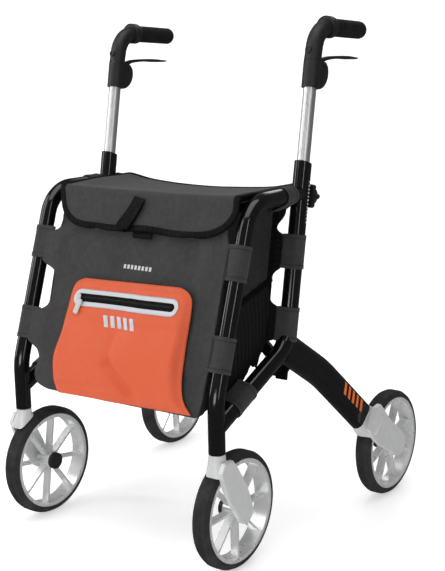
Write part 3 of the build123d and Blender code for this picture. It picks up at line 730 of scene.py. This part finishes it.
bag = bag_shell()
bag_start = ripple(points_of(bag)[None], (0, 1, 0), 0.0022, 0.05, 4)[0]
move_points(bag, bag_start)
heights = bag_start[:, 2]
near_edge = np.abs(bag_start[:, 0]) > 0.160
at_loops = ((np.abs(heights - 0.509) < 0.030) | (np.abs(heights - 0.369) < 0.032)) & near_edge
settle(bag, at_loops | (heights > 0.568), slack=0.006, limit=0.004)
thicken(bag, shell_cloth, side=-1, lining=1)
mount(bag, "right_frame", ("bag_front_panel", "bag_back_panel", "bag_floor"))
shell_area = cut_area(np.concatenate([shell_grid, shell_grid[:, :1]], 1))
shell_area += 2 * bag_half * floor_depth

# ---- loops that hold the bag on the tubes ----
loop_length, loop_cloth, hem = 0.058, 0.0016, 0.006


def wrap_outline(radius, apex):
    """Round the tube and back to the point where both layers meet, outwards and backwards."""
    apex = np.array(apex)
    facing = math.atan2(apex[1], apex[0])
    touch = math.acos(radius / math.hypot(*apex))
    turns = np.linspace(facing - touch, facing + touch - 2 * math.pi, 30)
    arc = [np.array((radius * math.cos(t), radius * math.sin(t))) for t in turns]
    lead = [apex + (arc[0] - apex) * share for share in np.linspace(0, 0.9, 6)]
    tail = [apex + (arc[-1] - apex) * share for share in np.linspace(0.9, 0.02, 6)]
    return lead + arc + tail


def loop_grid(side, centre, direction, radius, apex, length):
    """Rows of a sleeve round a tube, slightly thicker at its two hems."""
    behind = np.cross(direction, (1, 0, 0))
    near_hem = np.array((0, 0.001, hem - 0.001, hem, hem + 0.001))
    rows = []
    for run in (*near_hem, *np.linspace(0.012, length - 0.012, 7), *(length - near_hem[::-1])):
        inside = 0.0005 < min(run, length - run) < hem - 0.0002
        swell = 1 + (0.0005 / radius if inside else 0.0)
        start = centre + direction * (run - length / 2)
        rows.append([start + np.array((side * a * swell, 0, 0)) + behind * (b * swell)
                     for a, b in wrap_outline(radius + 0.0011, apex)])
    return np.array(rows)


strut_middle = 0.016
strut_height = 0.256 + (strut_middle + 0.048) * 0.4478
front_way, upright_way, strut_way = (0, front_lean, 1), (0, upright_lean, 1), (0, 0.9125, 0.4090)
front_apex, rear_apex, top_apex = (-0.0330, -0.0100), (-0.0130, -0.0205), (-0.0225, 0.0270)
loop_places = (
    ("front_upper", (front_y(0.509), 0.509), front_way, front_tube_radius, front_apex, loop_length),
    ("front_lower", (front_y(0.369), 0.369), front_way, front_tube_radius, front_apex, loop_length),
    ("rear_upper", (upright_y(0.505), 0.505), upright_way, upright_radius, rear_apex, loop_length),
    ("rear_lower", (upright_y(0.383), 0.383), upright_way, upright_radius, rear_apex, loop_length),
    ("strut", (back(strut_middle), strut_height), strut_way, upright_radius, rear_apex, 0.052),
    ("top", (back(0.157), 0.603), (0, 1, 0), front_tube_radius, top_apex, 0.030),
)


def make_loops(side, side_name):
    """All the sleeves of one side, with a row of stitches inside each hem."""
    for name, (y, z), direction, radius, apex, length in loop_places:
        centre = np.array((side * frame_x, y, z))
        direction = unit(np.array(direction, float))
        grid = loop_grid(side, centre, direction, radius, apex, length)
        piece = grid_piece(f"{side_name}_loop_{name}", grid, charcoal_cloth)
        thicken(piece, loop_cloth)
        threads = []
        for row, inner in ((3, 4), (-4, -5)):
            path = (grid[row] + grid[inner]) / 2
            outwards = unit(path - centre - direction * ((path - centre) @ direction)[:, None])
            thread_name = f"{side_name}_{name}_thread_{len(threads)}"
            threads.append(stitch_row(thread_name, path + outwards * 0.0010, outwards))
        for thread in threads:
            mount(thread, f"{side_name}_frame", pressed=False)
        stands_for = (f"{side_name}_side_panel",) if name == "front_upper" else ()
        mount(piece, f"{side_name}_frame", stands_for, pressed=False)


for side, side_name in sides:
    make_loops(side, side_name)

# ---- net pockets and edge bands on the bag's sides ----
pocket_pitch, net_depth = 0.011, 0.0045


def side_pocket(side, side_name):
    """A pleated net over the lower part of the bag's side, under a slanting elastic edge."""
    rows, columns = 20, 61
    grid = np.zeros((rows, columns, 3))
    for j, depth in enumerate(np.linspace(0.25, 0.985, columns)):
        foot = Vector(shell_point(1, depth, 0.012, True))
        top_height = 0.416 + 0.050 * depth
        for i, rise in enumerate(np.linspace(0, 1, rows)):
            height = foot.z + (top_height - foot.z) * rise
            share = (height - foot.z) / (bag_back_high - foot.z)
            x, y, _ = shell_point(1, depth, 0.012 + share * 0.988, True)
            fullness = math.sin(math.pi * min(1, rise * 1.15 + 0.08)) ** 0.5
            pleat = 0.0011 * math.sin(2 * math.pi * y / pocket_pitch) * (0.25 + 0.75 * fullness)
            belly = net_depth * math.sin(math.pi * depth) ** 0.6 * fullness
            grid[i, j] = (side * (x + 0.0018 + belly + pleat), y, height)
    piece = grid_piece(f"{side_name}_net_pocket", grid, mesh_black)
    thicken(piece, 0.0008)
    path, normal = even_run(grid[-1], np.tile((side, 0.0, 0.0), (columns, 1)))
    inward = edge_frames(path, normal, grid.reshape(-1, 3).mean(0))
    band = bind_edge(f"{side_name}_net_edge", path, inward, normal, 0.009, 0.0014)
    for made, slot in ((piece, "lining_cloth"), (band, "webbing_black")):
        mount(made, "right_frame")


# How far the black edging reaches towards the upright: fully at the sleeves only.
edging_reach = (
    (0.354, 0.0), (0.359, 0.85), (0.366, 1.0), (0.408, 1.0), (0.416, 0.75), (0.421, 0.28),
    (0.428, 0.03), (0.448, 0.0), (0.466, 0.03), (0.473, 0.28), (0.478, 0.75), (0.486, 1.0),
    (0.529, 1.0), (0.536, 0.75), (0.541, 0.28), (0.547, 0.05), (0.554, 0.2), (0.562, 0.6),
    (0.572, 0.85), (0.586, 0.9),
)


def rear_edging(side, side_name):
    """Black scalloped edging that ties the bag's rear corner to the sleeves on the upright."""
    grid = []
    for height in np.linspace(0.357, 0.5855, 90):
        reach = along(height, edging_reach)
        rear = upright_y(height) - rear_gap
        row = [(0.0012, -0.0125), (0.0016, -0.006), (0.0018, 0)]
        row += [(0.0018 + 0.0120 * reach * t, 0.0006 + 0.0105 * reach * t) for t in (0.35, 0.7, 1)]
        grid.append([(side * (bag_half + aside), rear + behind, height) for aside, behind in row])
    name = f"{side_name}_rear_edging"
    lay_sheet(name, grid, webbing, 0.0014, "right_frame")


for side, side_name in sides:
    side_pocket(side, side_name)
    rear_edging(side, side_name)

# ---- seat ----
seat_top = 0.6147
seat_front_y, seat_back_y = back(0.0455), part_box("seat")[1].y
seat_rows, seat_columns, seat_cloth = 27, 53, 0.0032
seat_right = ((0, 0.186), (0.12, 0.1915), (0.3, 0.1985), (0.5, 0.2025), (1, 0.2045))
seat_left = ((0, 0.208), (0.15, 0.205), (1, 0.204))
seat_sag = ((0, 0.002), (0.12, 0.003), (0.45, 0.0075), (1, 0.012))


def slack_share(x_share):
    """How far the seat sags across its width: 1 in the middle, 0 where the rails hold it."""
    return max(0.0, 1 - (abs(x_share) / 0.95) ** 2.6)


def seat_point(x_share, y_share):
    """The seat hangs between the rails, more towards the back."""
    right, left = along(y_share, seat_right), along(y_share, seat_left)
    front = -0.0010 * hump(y_share, 0.0, 0.12)
    y = seat_front_y + (seat_back_y - seat_front_y) * y_share
    z = seat_top - along(y_share, seat_sag) * slack_share(x_share) + front
    return (-right + (right + left) * (x_share + 1) / 2, y, z)


seat_grid = np.array([[seat_point(u, v) for u in np.linspace(-1, 1, seat_columns)]
                      for v in np.linspace(0, 1, seat_rows)])
seat_start = ripple(seat_grid, (0, 0, 1), 0.0012, 0.07, 11)
seat = grid_piece("seat_cloth", seat_start, charcoal_cloth)
seat_x = np.abs(seat_grid[:, :, 0]).ravel()
seat_y = seat_grid[:, :, 1].ravel()
settle(seat, (seat_x > 0.176) | (seat_y < seat_front_y + 0.004), slack=0.004, limit=0.004)
seat_shape = calm(seat, seat_start)
thicken(seat, seat_cloth, side=-1)
mount(seat, "right_seat_rail", ("seat",))
seat_trim = bound_sheet("seat", seat, seat_shape, "right_seat_rail", 0.0100, 0.0026, (0, 0, 1),
                        drop=seat_cloth / 2)

# ---- flap that hangs from the seat's front edge ----
flap_cloth, flap_columns = 0.0030, 61
flap_right = (
    (0.545, 0.096), (0.546, 0.116), (0.5485, 0.13), (0.5525, 0.1415), (0.5595, 0.154),
    (0.572, 0.166), (0.588, 0.1735), (0.601, 0.1775), (0.61, 0.183), (0.6145, 0.186),
)
flap_left = (
    (0.545, 0.128), (0.5465, 0.15), (0.55, 0.168), (0.5555, 0.183), (0.564, 0.196), (0.574, 0.2055),
    (0.584, 0.211), (0.594, 0.213), (0.606, 0.2115), (0.6145, 0.208),
)
roll = (
    (0.0455, 0.6137), (0.0425, 0.6134), (0.0395, 0.6124), (0.0365, 0.6106), (0.034, 0.6082),
    (0.032, 0.6052), (0.0305, 0.6018), (0.0294, 0.5982),
)
hanging = (
    0.594, 0.5895, 0.585, 0.5805, 0.5762, 0.572, 0.568, 0.5645, 0.5612, 0.5583, 0.5556, 0.5532,
    0.551, 0.5491, 0.5476, 0.5463, 0.5455, 0.545,
)
flap_profile = [(back(distance), height) for distance, height in roll]
flap_profile += [(panel_y(height, 0.0050), height) for height in hanging]


def flap_point(x_share, y, height):
    """A point of the flap; it follows the seat's sag at the top and waves a little lower down."""
    right, left = along(height, flap_right), along(height, flap_left)
    x = -right + (right + left) * (x_share + 1) / 2
    loose = smooth(min(1, max(0, (0.606 - height) / 0.05)))
    wave = 0.0014 * (1 + math.sin(9 * x_share + 0.6)) * loose
    dip = 0.0030 * slack_share(x_share) * smooth(min(1, max(0, (height - 0.592) / 0.02)))
    lifted = 0.0035 * hump(x_share, 0.12, 0.45) * loose
    return (x, y - wave, height - dip + lifted)


flap_grid = np.array([[flap_point(u, y, z) for u in np.linspace(-1, 1, flap_columns)]
                      for y, z in flap_profile])
flap_start = ripple(flap_grid, (0, 1, 0), 0.0010, 0.06, 21)
flap = grid_piece("flap_cloth", flap_start, charcoal_cloth)
flap_hung = np.repeat(np.array([z for y, z in flap_profile]) > 0.604, flap_columns)
settle(flap, flap_hung, slack=0.004, pull=0.6, limit=0.0022, steps=12)
flap_shape = calm(flap, flap_start)
thicken(flap, flap_cloth)
mount(flap, "seat_flap", ("seat_flap",))
flap_trim = bound_sheet("flap", flap, flap_shape, "seat_flap", 0.0105, 0.0029, (0, -1, 0.4),
                        level_rows=True)

# ---- pull strap: one length of webbing, doubled into a loop ----
strap_half = 0.0122
strap_knots = (
    (0.603, 0.011, 0.0022), (0.593, 0.0085, 0.0044), (0.58, 0.003, 0.006),
    (0.567, -0.006, 0.006), (0.556, -0.015, 0.005), (0.551, -0.0185, 0.0042),
    (0.549, -0.0175, 0.003), (0.552, -0.014, 0.002), (0.562, -0.007, 0.0018),
    (0.578, 0.002, 0.0018), (0.592, 0.008, 0.0014), (0.602, 0.0105, 0.0012),
)


def curve_points(knots, count):
    """Points on a smooth curve near the knots."""
    curve = bpy.data.curves.new("route", "CURVE")
    curve.dimensions = "3D"
    spline = curve.splines.new("NURBS")
    spline.points.add(len(knots) - 1)
    for point, knot in zip(spline.points, knots):
        point.co = (*knot, 1)
    spline.order_u = 3
    spline.use_endpoint_u = True
    spline.resolution_u = 12
    holder = bpy.data.objects.new("route", curve)
    scene.collection.objects.link(holder)
    depsgraph = bpy.context.evaluated_depsgraph_get()
    mesh = bpy.data.meshes.new_from_object(holder.evaluated_get(depsgraph))
    path = np.array([v.co for v in mesh.vertices])
    bpy.data.objects.remove(holder)
    reach = reach_along(path)
    return sample(np.linspace(0, reach[-1], count), reach, path)


def flap_front(height):
    """Y of the flap's outer face."""
    return panel_y(height, 0.0050 + 0.0032)


strap_path = curve_points([(x, flap_front(z) - proud, z) for z, x, proud in strap_knots], 48)
strap_grid = []
for point, forward in zip(strap_path, unit(np.gradient(strap_path, axis=0))):
    aside = unit(np.cross(forward, np.cross((1, 0, 0), forward)))
    strap_grid.append([point + aside * strap_half * s for s in (-1, -0.9, -0.45, 0, 0.45, 0.9, 1)])
lay_sheet("strap", strap_grid, webbing, 0.0013, "seat_flap",
          ("pull_strap",))

tab_low, tab_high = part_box("closure_tab")
tab_grid = [[(x, panel_y(z, 0.0030), z) for x in np.linspace(tab_low.x, tab_high.x, 11)]
            for z in np.linspace(tab_low.z, tab_high.z + 0.012, 7)]
lay_sheet("closure_patch", tab_grid, webbing, 0.0018, "right_frame",
          ("closure_tab",))

# ---- front pocket ----
left_edge = ((0.268, -0.101), (0.29, -0.118), (0.325, -0.127), (0.369, -0.118), (0.404, -0.114),
             (0.44, -0.109), (0.452, -0.104), (0.459, -0.094), (0.4625, -0.08))
right_edge = ((0.27, 0.2), (0.283, 0.182), (0.299, 0.167), (0.325, 0.16), (0.356, 0.157),
              (0.419, 0.155), (0.447, 0.153), (0.458, 0.146), (0.4645, 0.134), (0.4675, 0.12))
fold_crest = ((-0.11, 0.352), (-0.039, 0.343), (0.007, 0.334), (0.057, 0.36), (0.113, 0.361),
              (0.15, 0.352))
# Creases pressed into the pocket: depth, the two ends as (x, z), width.
creases = (
    (0.0075, (0.006, 0.334), (0.064, 0.289), 0.008),
    (0.0030, (0.010, 0.378), (0.006, 0.334), 0.008),
    (0.0036, (-0.100, 0.286), (0.020, 0.296), 0.006),
    (0.0014, (0.036, 0.445), (0.026, 0.460), 0.008),
)


def groove(x, z, start, end, width):
    """1 on a line across the cloth, easing to 0 beside and past it."""
    line = Vector((end[0] - start[0], end[1] - start[1]))
    offset = Vector((x - start[0], z - start[1]))
    share = max(0.0, min(1.0, offset.dot(line) / line.length_squared))
    away = (offset - line * share).length / width
    return math.exp(-away * away)


def pocket_point(x_share, z_share):
    """A point of the pocket: full along its crest, creased, and flat at its rim."""
    low = 0.269 + 0.008 * (x_share + 1) / 2
    high = 0.4615 + 0.005 * (x_share + 1) / 2
    z = low + (high - low) * z_share
    left, right = along(z, left_edge), along(z, right_edge)
    x = left + (right - left) * (x_share + 1) / 2
    edge = min(1 - abs(x_share), 2 * z_share, 2 * (1 - z_share)) / 0.10
    crest = along(x, fold_crest)
    belly = 0.0150 * (1 - ((crest - z) / 0.090) ** 1.3 if z < crest else hump(z, crest, 0.12))
    pressed = sum(depth * groove(x, z, start, end, width) for depth, start, end, width in creases)
    proud = 0.0016 + smooth(min(1, edge)) * (0.0048 + belly - pressed)
    return (x, panel_y(z, 0.0006 + proud), z)


pocket_grid = np.array([[pocket_point(u, v) for u in np.linspace(-1, 1, 57)]
                        for v in np.linspace(0, 1, 41)])
pocket_start = ripple(pocket_grid, (0, 1, 0), 0.0010, 0.035, 31)
pocket = grid_piece("front_pocket_cloth", pocket_start, orange_cloth)
rim = np.zeros(pocket_grid.shape[:2], bool)
rim[[0, -1]] = rim[:, [0, -1]] = True
rim |= (pocket_grid[:, :, 2] > 0.405) & (pocket_grid[:, :, 2] < 0.450)
settle(pocket, rim.ravel(), slack=0.008, swell=0.4, pull=0.4, limit=0.0028, steps=14)
thicken(pocket, 0.0012)
mount(pocket, "right_frame", ("front_pocket",))

# ---- zip across the pocket ----
zip_low, zip_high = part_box("pocket_zip")
zip_half, zip_middle = (zip_high.x - zip_low.x) / 2, (zip_high.x + zip_low.x) / 2


def zip_line(x):
    """Height of the zip's middle line."""
    return 0.4335 + 0.022 * (x - zip_middle)


def on_pocket(x, z, proud):
    """A point in front of the pocket's outer face."""
    hit, spot, normal, _ = pocket.ray_cast(Vector((x, cad_low.y - 1, z)), Vector((0, 1, 0)))
    if not hit:
        return np.array((x, panel_y(z, 0.008), z))
    return np.array(spot) + np.array(normal) * proud


def slot_grid(half_length, half_width, proud, rows):
    """A round-ended band that lies on the pocket."""
    grid = []
    for v in np.linspace(-1, 1, rows):
        row = []
        for u in np.sin(np.linspace(-math.pi / 2, math.pi / 2, 61)):
            near = max(0.0, abs(u) * half_length - half_length + half_width) / half_width
            x = zip_middle + u * half_length
            width = half_width * math.sqrt(max(0.0, 1 - min(1, near) ** 2)) + 0.0002
            row.append(on_pocket(x, zip_line(x) + v * width, proud * (1 - 0.35 * abs(v) ** 4)))
        grid.append(row)
    return grid


def zip_teeth():
    """Two interleaved rows of small teeth down the middle of the tape."""
    pitch, half = 0.0016, zip_half - 0.012
    foot = ((-1, -1), (1, -1), (1, 1), (-1, 1))
    block = [(a, b, 0) for a, b in foot] + [(0.6 * a, 0.6 * b, 1) for a, b in foot]
    stamps = []
    for number, x in enumerate(np.arange(zip_middle - half, zip_middle + half, pitch)):
        centre = on_pocket(x, zip_line(x) + (0.0006 if number % 2 else -0.0006), 0.0029)
        stamps.append([centre + np.array((a * 0.0005, -out * 0.0007, b * 0.0014))
                       for a, b, out in block])
    quads = ((4, 5, 6, 7), (0, 1, 5, 4), (1, 2, 6, 5), (2, 3, 7, 6), (3, 0, 4, 7))
    return stamped("zip_teeth", stamps, quads, (pitch, pitch), black_plastic)


lay_sheet("zip_surround", slot_grid(zip_half, 0.0135, 0.0011, 7), reflective, 0.0009, "right_frame",
          ("pocket_zip",))
lay_sheet("zip_tape", slot_grid(zip_half - 0.0075, 0.0062, 0.0020, 5), webbing, 0.0009,
          "right_frame")
mount(zip_teeth(), "right_frame")


def rounded_plate(name, centre, right, up_way, outline, thickness):
    """A grey plate with softened edges, from an outline in its own two directions."""
    centre, right, up_way = Vector(centre), Vector(right), Vector(up_way)
    shape = bmesh.new()
    face = shape.faces.new([shape.verts.new(centre + right * a + up_way * b) for a, b in outline])
    made = bmesh.ops.extrude_face_region(shape, geom=[face])
    moved = [v for v in made["geom"] if isinstance(v, bmesh.types.BMVert)]
    bmesh.ops.translate(shape, verts=moved, vec=right.cross(up_way) * thickness)
    bmesh.ops.recalc_face_normals(shape, faces=shape.faces)
    bmesh.ops.bevel(shape, geom=shape.edges, offset=thickness * 0.22, segments=2, affect="EDGES")
    layer = shape.loops.layers.uv.new(CLOTH_UV)
    for polygon in shape.faces:
        polygon.smooth = True
        for loop in polygon.loops:
            loop[layer].uv = (loop.vert.co.x, loop.vert.co.z)
    mesh = bpy.data.meshes.new(name)
    shape.to_mesh(mesh)
    shape.free()
    mesh.materials.append(puller_grey)
    piece = bpy.data.objects.new(name, mesh)
    scene.collection.objects.link(piece)
    return piece


def round_outline(half_width, half_height, corner_size):
    """A rectangle's outline with round corners."""
    points = []
    for x, z, turn in ((1, 1, 0), (-1, 1, 90), (-1, -1, 180), (1, -1, 270)):
        for angle in np.radians(np.linspace(turn, turn + 90, 5)):
            points.append((x * (half_width - corner_size) + corner_size * math.cos(angle),
                           z * (half_height - corner_size) + corner_size * math.sin(angle)))
    return points


puller_low, puller_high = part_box("zip_puller")
puller_x = (puller_low.x + puller_high.x) / 2
lean = Vector((0, front_lean, 1)).normalized()
slider_centre = on_pocket(puller_x, zip_line(puller_x), 0.0034)
slider_outline = round_outline(0.0042, 0.0056, 0.002)
tag_outline = round_outline(0.0052, 0.0135, 0.0012)
slider = rounded_plate("zip_slider", slider_centre, (1, 0, 0), lean, slider_outline, 0.0030)
hang = Vector((-0.30, 0, -1)).normalized()
hang = Vector((hang.x, lean.y * hang.z, hang.z)).normalized()
tag_side = (Vector((1, 0, 0)) - hang * hang.x).normalized()
tag_centre = Vector(slider_centre) + hang * 0.0165 + Vector((0.0068, -0.0022, 0))
tag = rounded_plate("zip_tag", tag_centre, tag_side, -hang, tag_outline, 0.0022)
mount(slider, "zip_puller", ("zip_puller",))
mount(tag, "zip_puller")

# ---- printed bars, screws and caps ----


def printed_bars(name, target, centres, toward, long_way, size, body, finish=reflective):
    """Short slanted bars printed on a surface that is met by looking from each centre."""
    toward, long_way = Vector(toward).normalized(), Vector(long_way).normalized()
    short_way = long_way.cross(toward)
    half_long, half_short, lean_by = size
    stamps = []
    for centre in centres:
        stamps.append([])
        for a in np.linspace(-1, 1, 7):
            for b in (-1, 0, 1):
                point = Vector(centre) + long_way * a * half_long
                point += short_way * (b * half_short + a * lean_by)
                hit, spot, normal, _ = target.ray_cast(point - toward * 0.2, toward)
                stamps[-1].append(spot + normal * 0.0006 if hit else point)
    quads = quads_over([row * 3 + column for row in range(6) for column in range(2)], (0, 1, 4, 3))
    mount(stamped(name, stamps, quads, (half_short, half_long), finish), body)


bar_y = -0.4  # in front of the whole bag
printed_bars("pocket_marks", pocket,
             [(x, bar_y, 0.4005 + 0.03 * (x - 0.02)) for x in np.linspace(-0.013, 0.047, 5)],
             (0, 1, 0), (0, 0, 1), (0.0092, 0.0045, 0.0032), "right_frame")
printed_bars("panel_marks", bag, [(x, bar_y, 0.4870) for x in np.linspace(-0.007, 0.050, 8)],
             (0, 1, 0), (0, 0, 1), (0.0034, 0.0025, 0.0), "right_frame")
leg_way, leg_up = Vector((0, 0.70, -0.714)), Vector((0, 0.714, 0.70))
printed_bars("left_leg_marks", nodes["left_rear_leg"],
             [Vector((0.35, back(0.300), 0.217)) + leg_way * run + leg_up * 0.008
              for run in (-0.027, -0.013, 0.001, 0.015, 0.029)],
             (-1, 0, 0), leg_up, (0.0100, 0.0036, 0.0045), "left_frame",
             orange_paint)
printed_bars("left_upright_marks", nodes["left_upright_tube"],
             [(0.35, upright_y(z) + 0.040, z) for z in np.linspace(0.555, 0.622, 12)],
             (-0.95, -0.31, 0), upright_way, (0.0016, 0.0024, 0.0), "left_frame")


def screw_cap(name, target, start, toward, size, body):
    """A low round cap with a recess, seated on a surface."""
    toward = Vector(toward).normalized()
    _, spot, normal, _ = target.ray_cast(Vector(start), toward)
    right = normal.orthogonal().normalized()
    up_way = normal.cross(right)
    rings = ((1.0, -0.0012), (1.0, 0.0010), (0.86, 0.0017), (0.52, 0.0018), (0.44, 0.0004),
             (0.02, 0.0003))
    turns = np.linspace(0, 2 * math.pi, 25)[:-1]
    grid = [[spot + (right * math.cos(t) + up_way * math.sin(t)) * size * share + normal * rise
             for t in turns] for share, rise in rings]
    mount(grid_piece(name, grid, black_plastic, closed=True), body, pressed=False)


for side, side_name in sides:
    screw_cap(f"{side_name}_leg_screw", nodes[f"{side_name}_rear_leg"],
              (side * 0.35, back(0.331), 0.184), (-side, 0, 0), 0.0055, f"{side_name}_frame")
    screw_cap(f"{side_name}_elbow_cap", nodes[f"{side_name}_handle_elbow"],
              (side * frame_x - 0.002, -0.2, 0.842), (0, 1, 0), 0.0065, f"{side_name}_handle")

# ---- floor, backdrop and light ----
white = (1, 1, 1, 1)
floor_material, tree, shader = new_material("studio_floor", (0.9, 0.9, 0.9), 0.8)
tones = blend_colour(tree, grain(tree, row_place(tree), 3), (0.89, 0.89, 0.89), (0.91, 0.91, 0.91))
wire(tree, shader.inputs["Base Color"], tones)
wire(tree, shader.inputs["Emission Color"], white)
wire(tree, shader.inputs["Emission Strength"], 0.50)

sweep_back, sweep_radius, sweep_top, sweep_side = 3.2, 1.6, 5.0, 7.0
sweep_start = sweep_back - sweep_radius
profile = [(-4.0, 0.0), (sweep_start, 0.0)]
profile += [(sweep_start + sweep_radius * math.sin(a), sweep_radius - sweep_radius * math.cos(a))
            for a in np.linspace(0.1, math.pi / 2, 14)]
profile += [(sweep_back, sweep_top)]
heading = Matrix.Rotation(camera_azimuth, 3, "Z")
sweep_grid = [[heading @ Vector((x, y, z - 0.0005))
               for x in np.linspace(-sweep_side, sweep_side, 9)] for y, z in profile]
backdrop = grid_piece("studio_sweep", sweep_grid, floor_material)
backdrop.visible_glossy = False

# A white wall all round, seen but casting no light of its own.
wall_material, tree, shader = new_material("studio_wall", (0.0, 0.0, 0.0), 1.0)
wire(tree, shader.inputs["Emission Color"], white)
wire(tree, shader.inputs["Emission Strength"], grain(tree, row_place(tree), 0.5, 0.98, 1.0))
wall_radius, wall_foot, wall_top = 8.5, -2.0, 12.0
wall_grid = [[(wall_radius * math.cos(t), wall_radius * math.sin(t), z)
              for t in np.linspace(0, 2 * math.pi, 65)[:-1]] for z in (wall_foot, wall_top)]
wall = grid_piece("studio_wall", wall_grid, wall_material, closed=True)
wall.visible_diffuse = wall.visible_glossy = wall.visible_shadow = False


def soft_light(name, position, target, size, power):
    """A rectangular soft box that faces a target."""
    data = bpy.data.lights.new(name, "AREA")
    data.shape = "RECTANGLE"
    data.size, data.size_y = size
    data.energy = power
    lamp = bpy.data.objects.new(name, data)
    scene.collection.objects.link(lamp)
    lamp.location = position
    lamp.rotation_mode = "QUATERNION"
    lamp.rotation_quaternion = (Vector(target) - Vector(position)).to_track_quat("-Z", "Y")


middle = (cad_low + cad_high) / 2
soft_light("top", (0.1, -0.6, 3.2), middle, (2.6, 2.6), 44)
soft_light("key", (-1.6, -2.6, 2.2), middle, (1.2, 1.8), 19)
soft_light("strip_right", (2.3, -1.5, 1.3), middle, (0.25, 2.2), 9)
soft_light("strip_left", (-1.9, -0.9, 1.2), middle, (0.34, 2.0), 12)
soft_light("rear", (-0.9, 3.0, 2.3), middle, (1.4, 1.4), 12)
soft_light("low_front", (0.7, -3.2, 0.5), (0, 0, 0.12), (1.4, 0.7), 16)

world = bpy.data.worlds.new("studio")
scene.world = world
world.use_nodes = True
sky = world.node_tree.nodes["Background"].inputs
sky["Color"].default_value, sky["Strength"].default_value = white, 0.12
scene.view_settings.view_transform = "Standard"
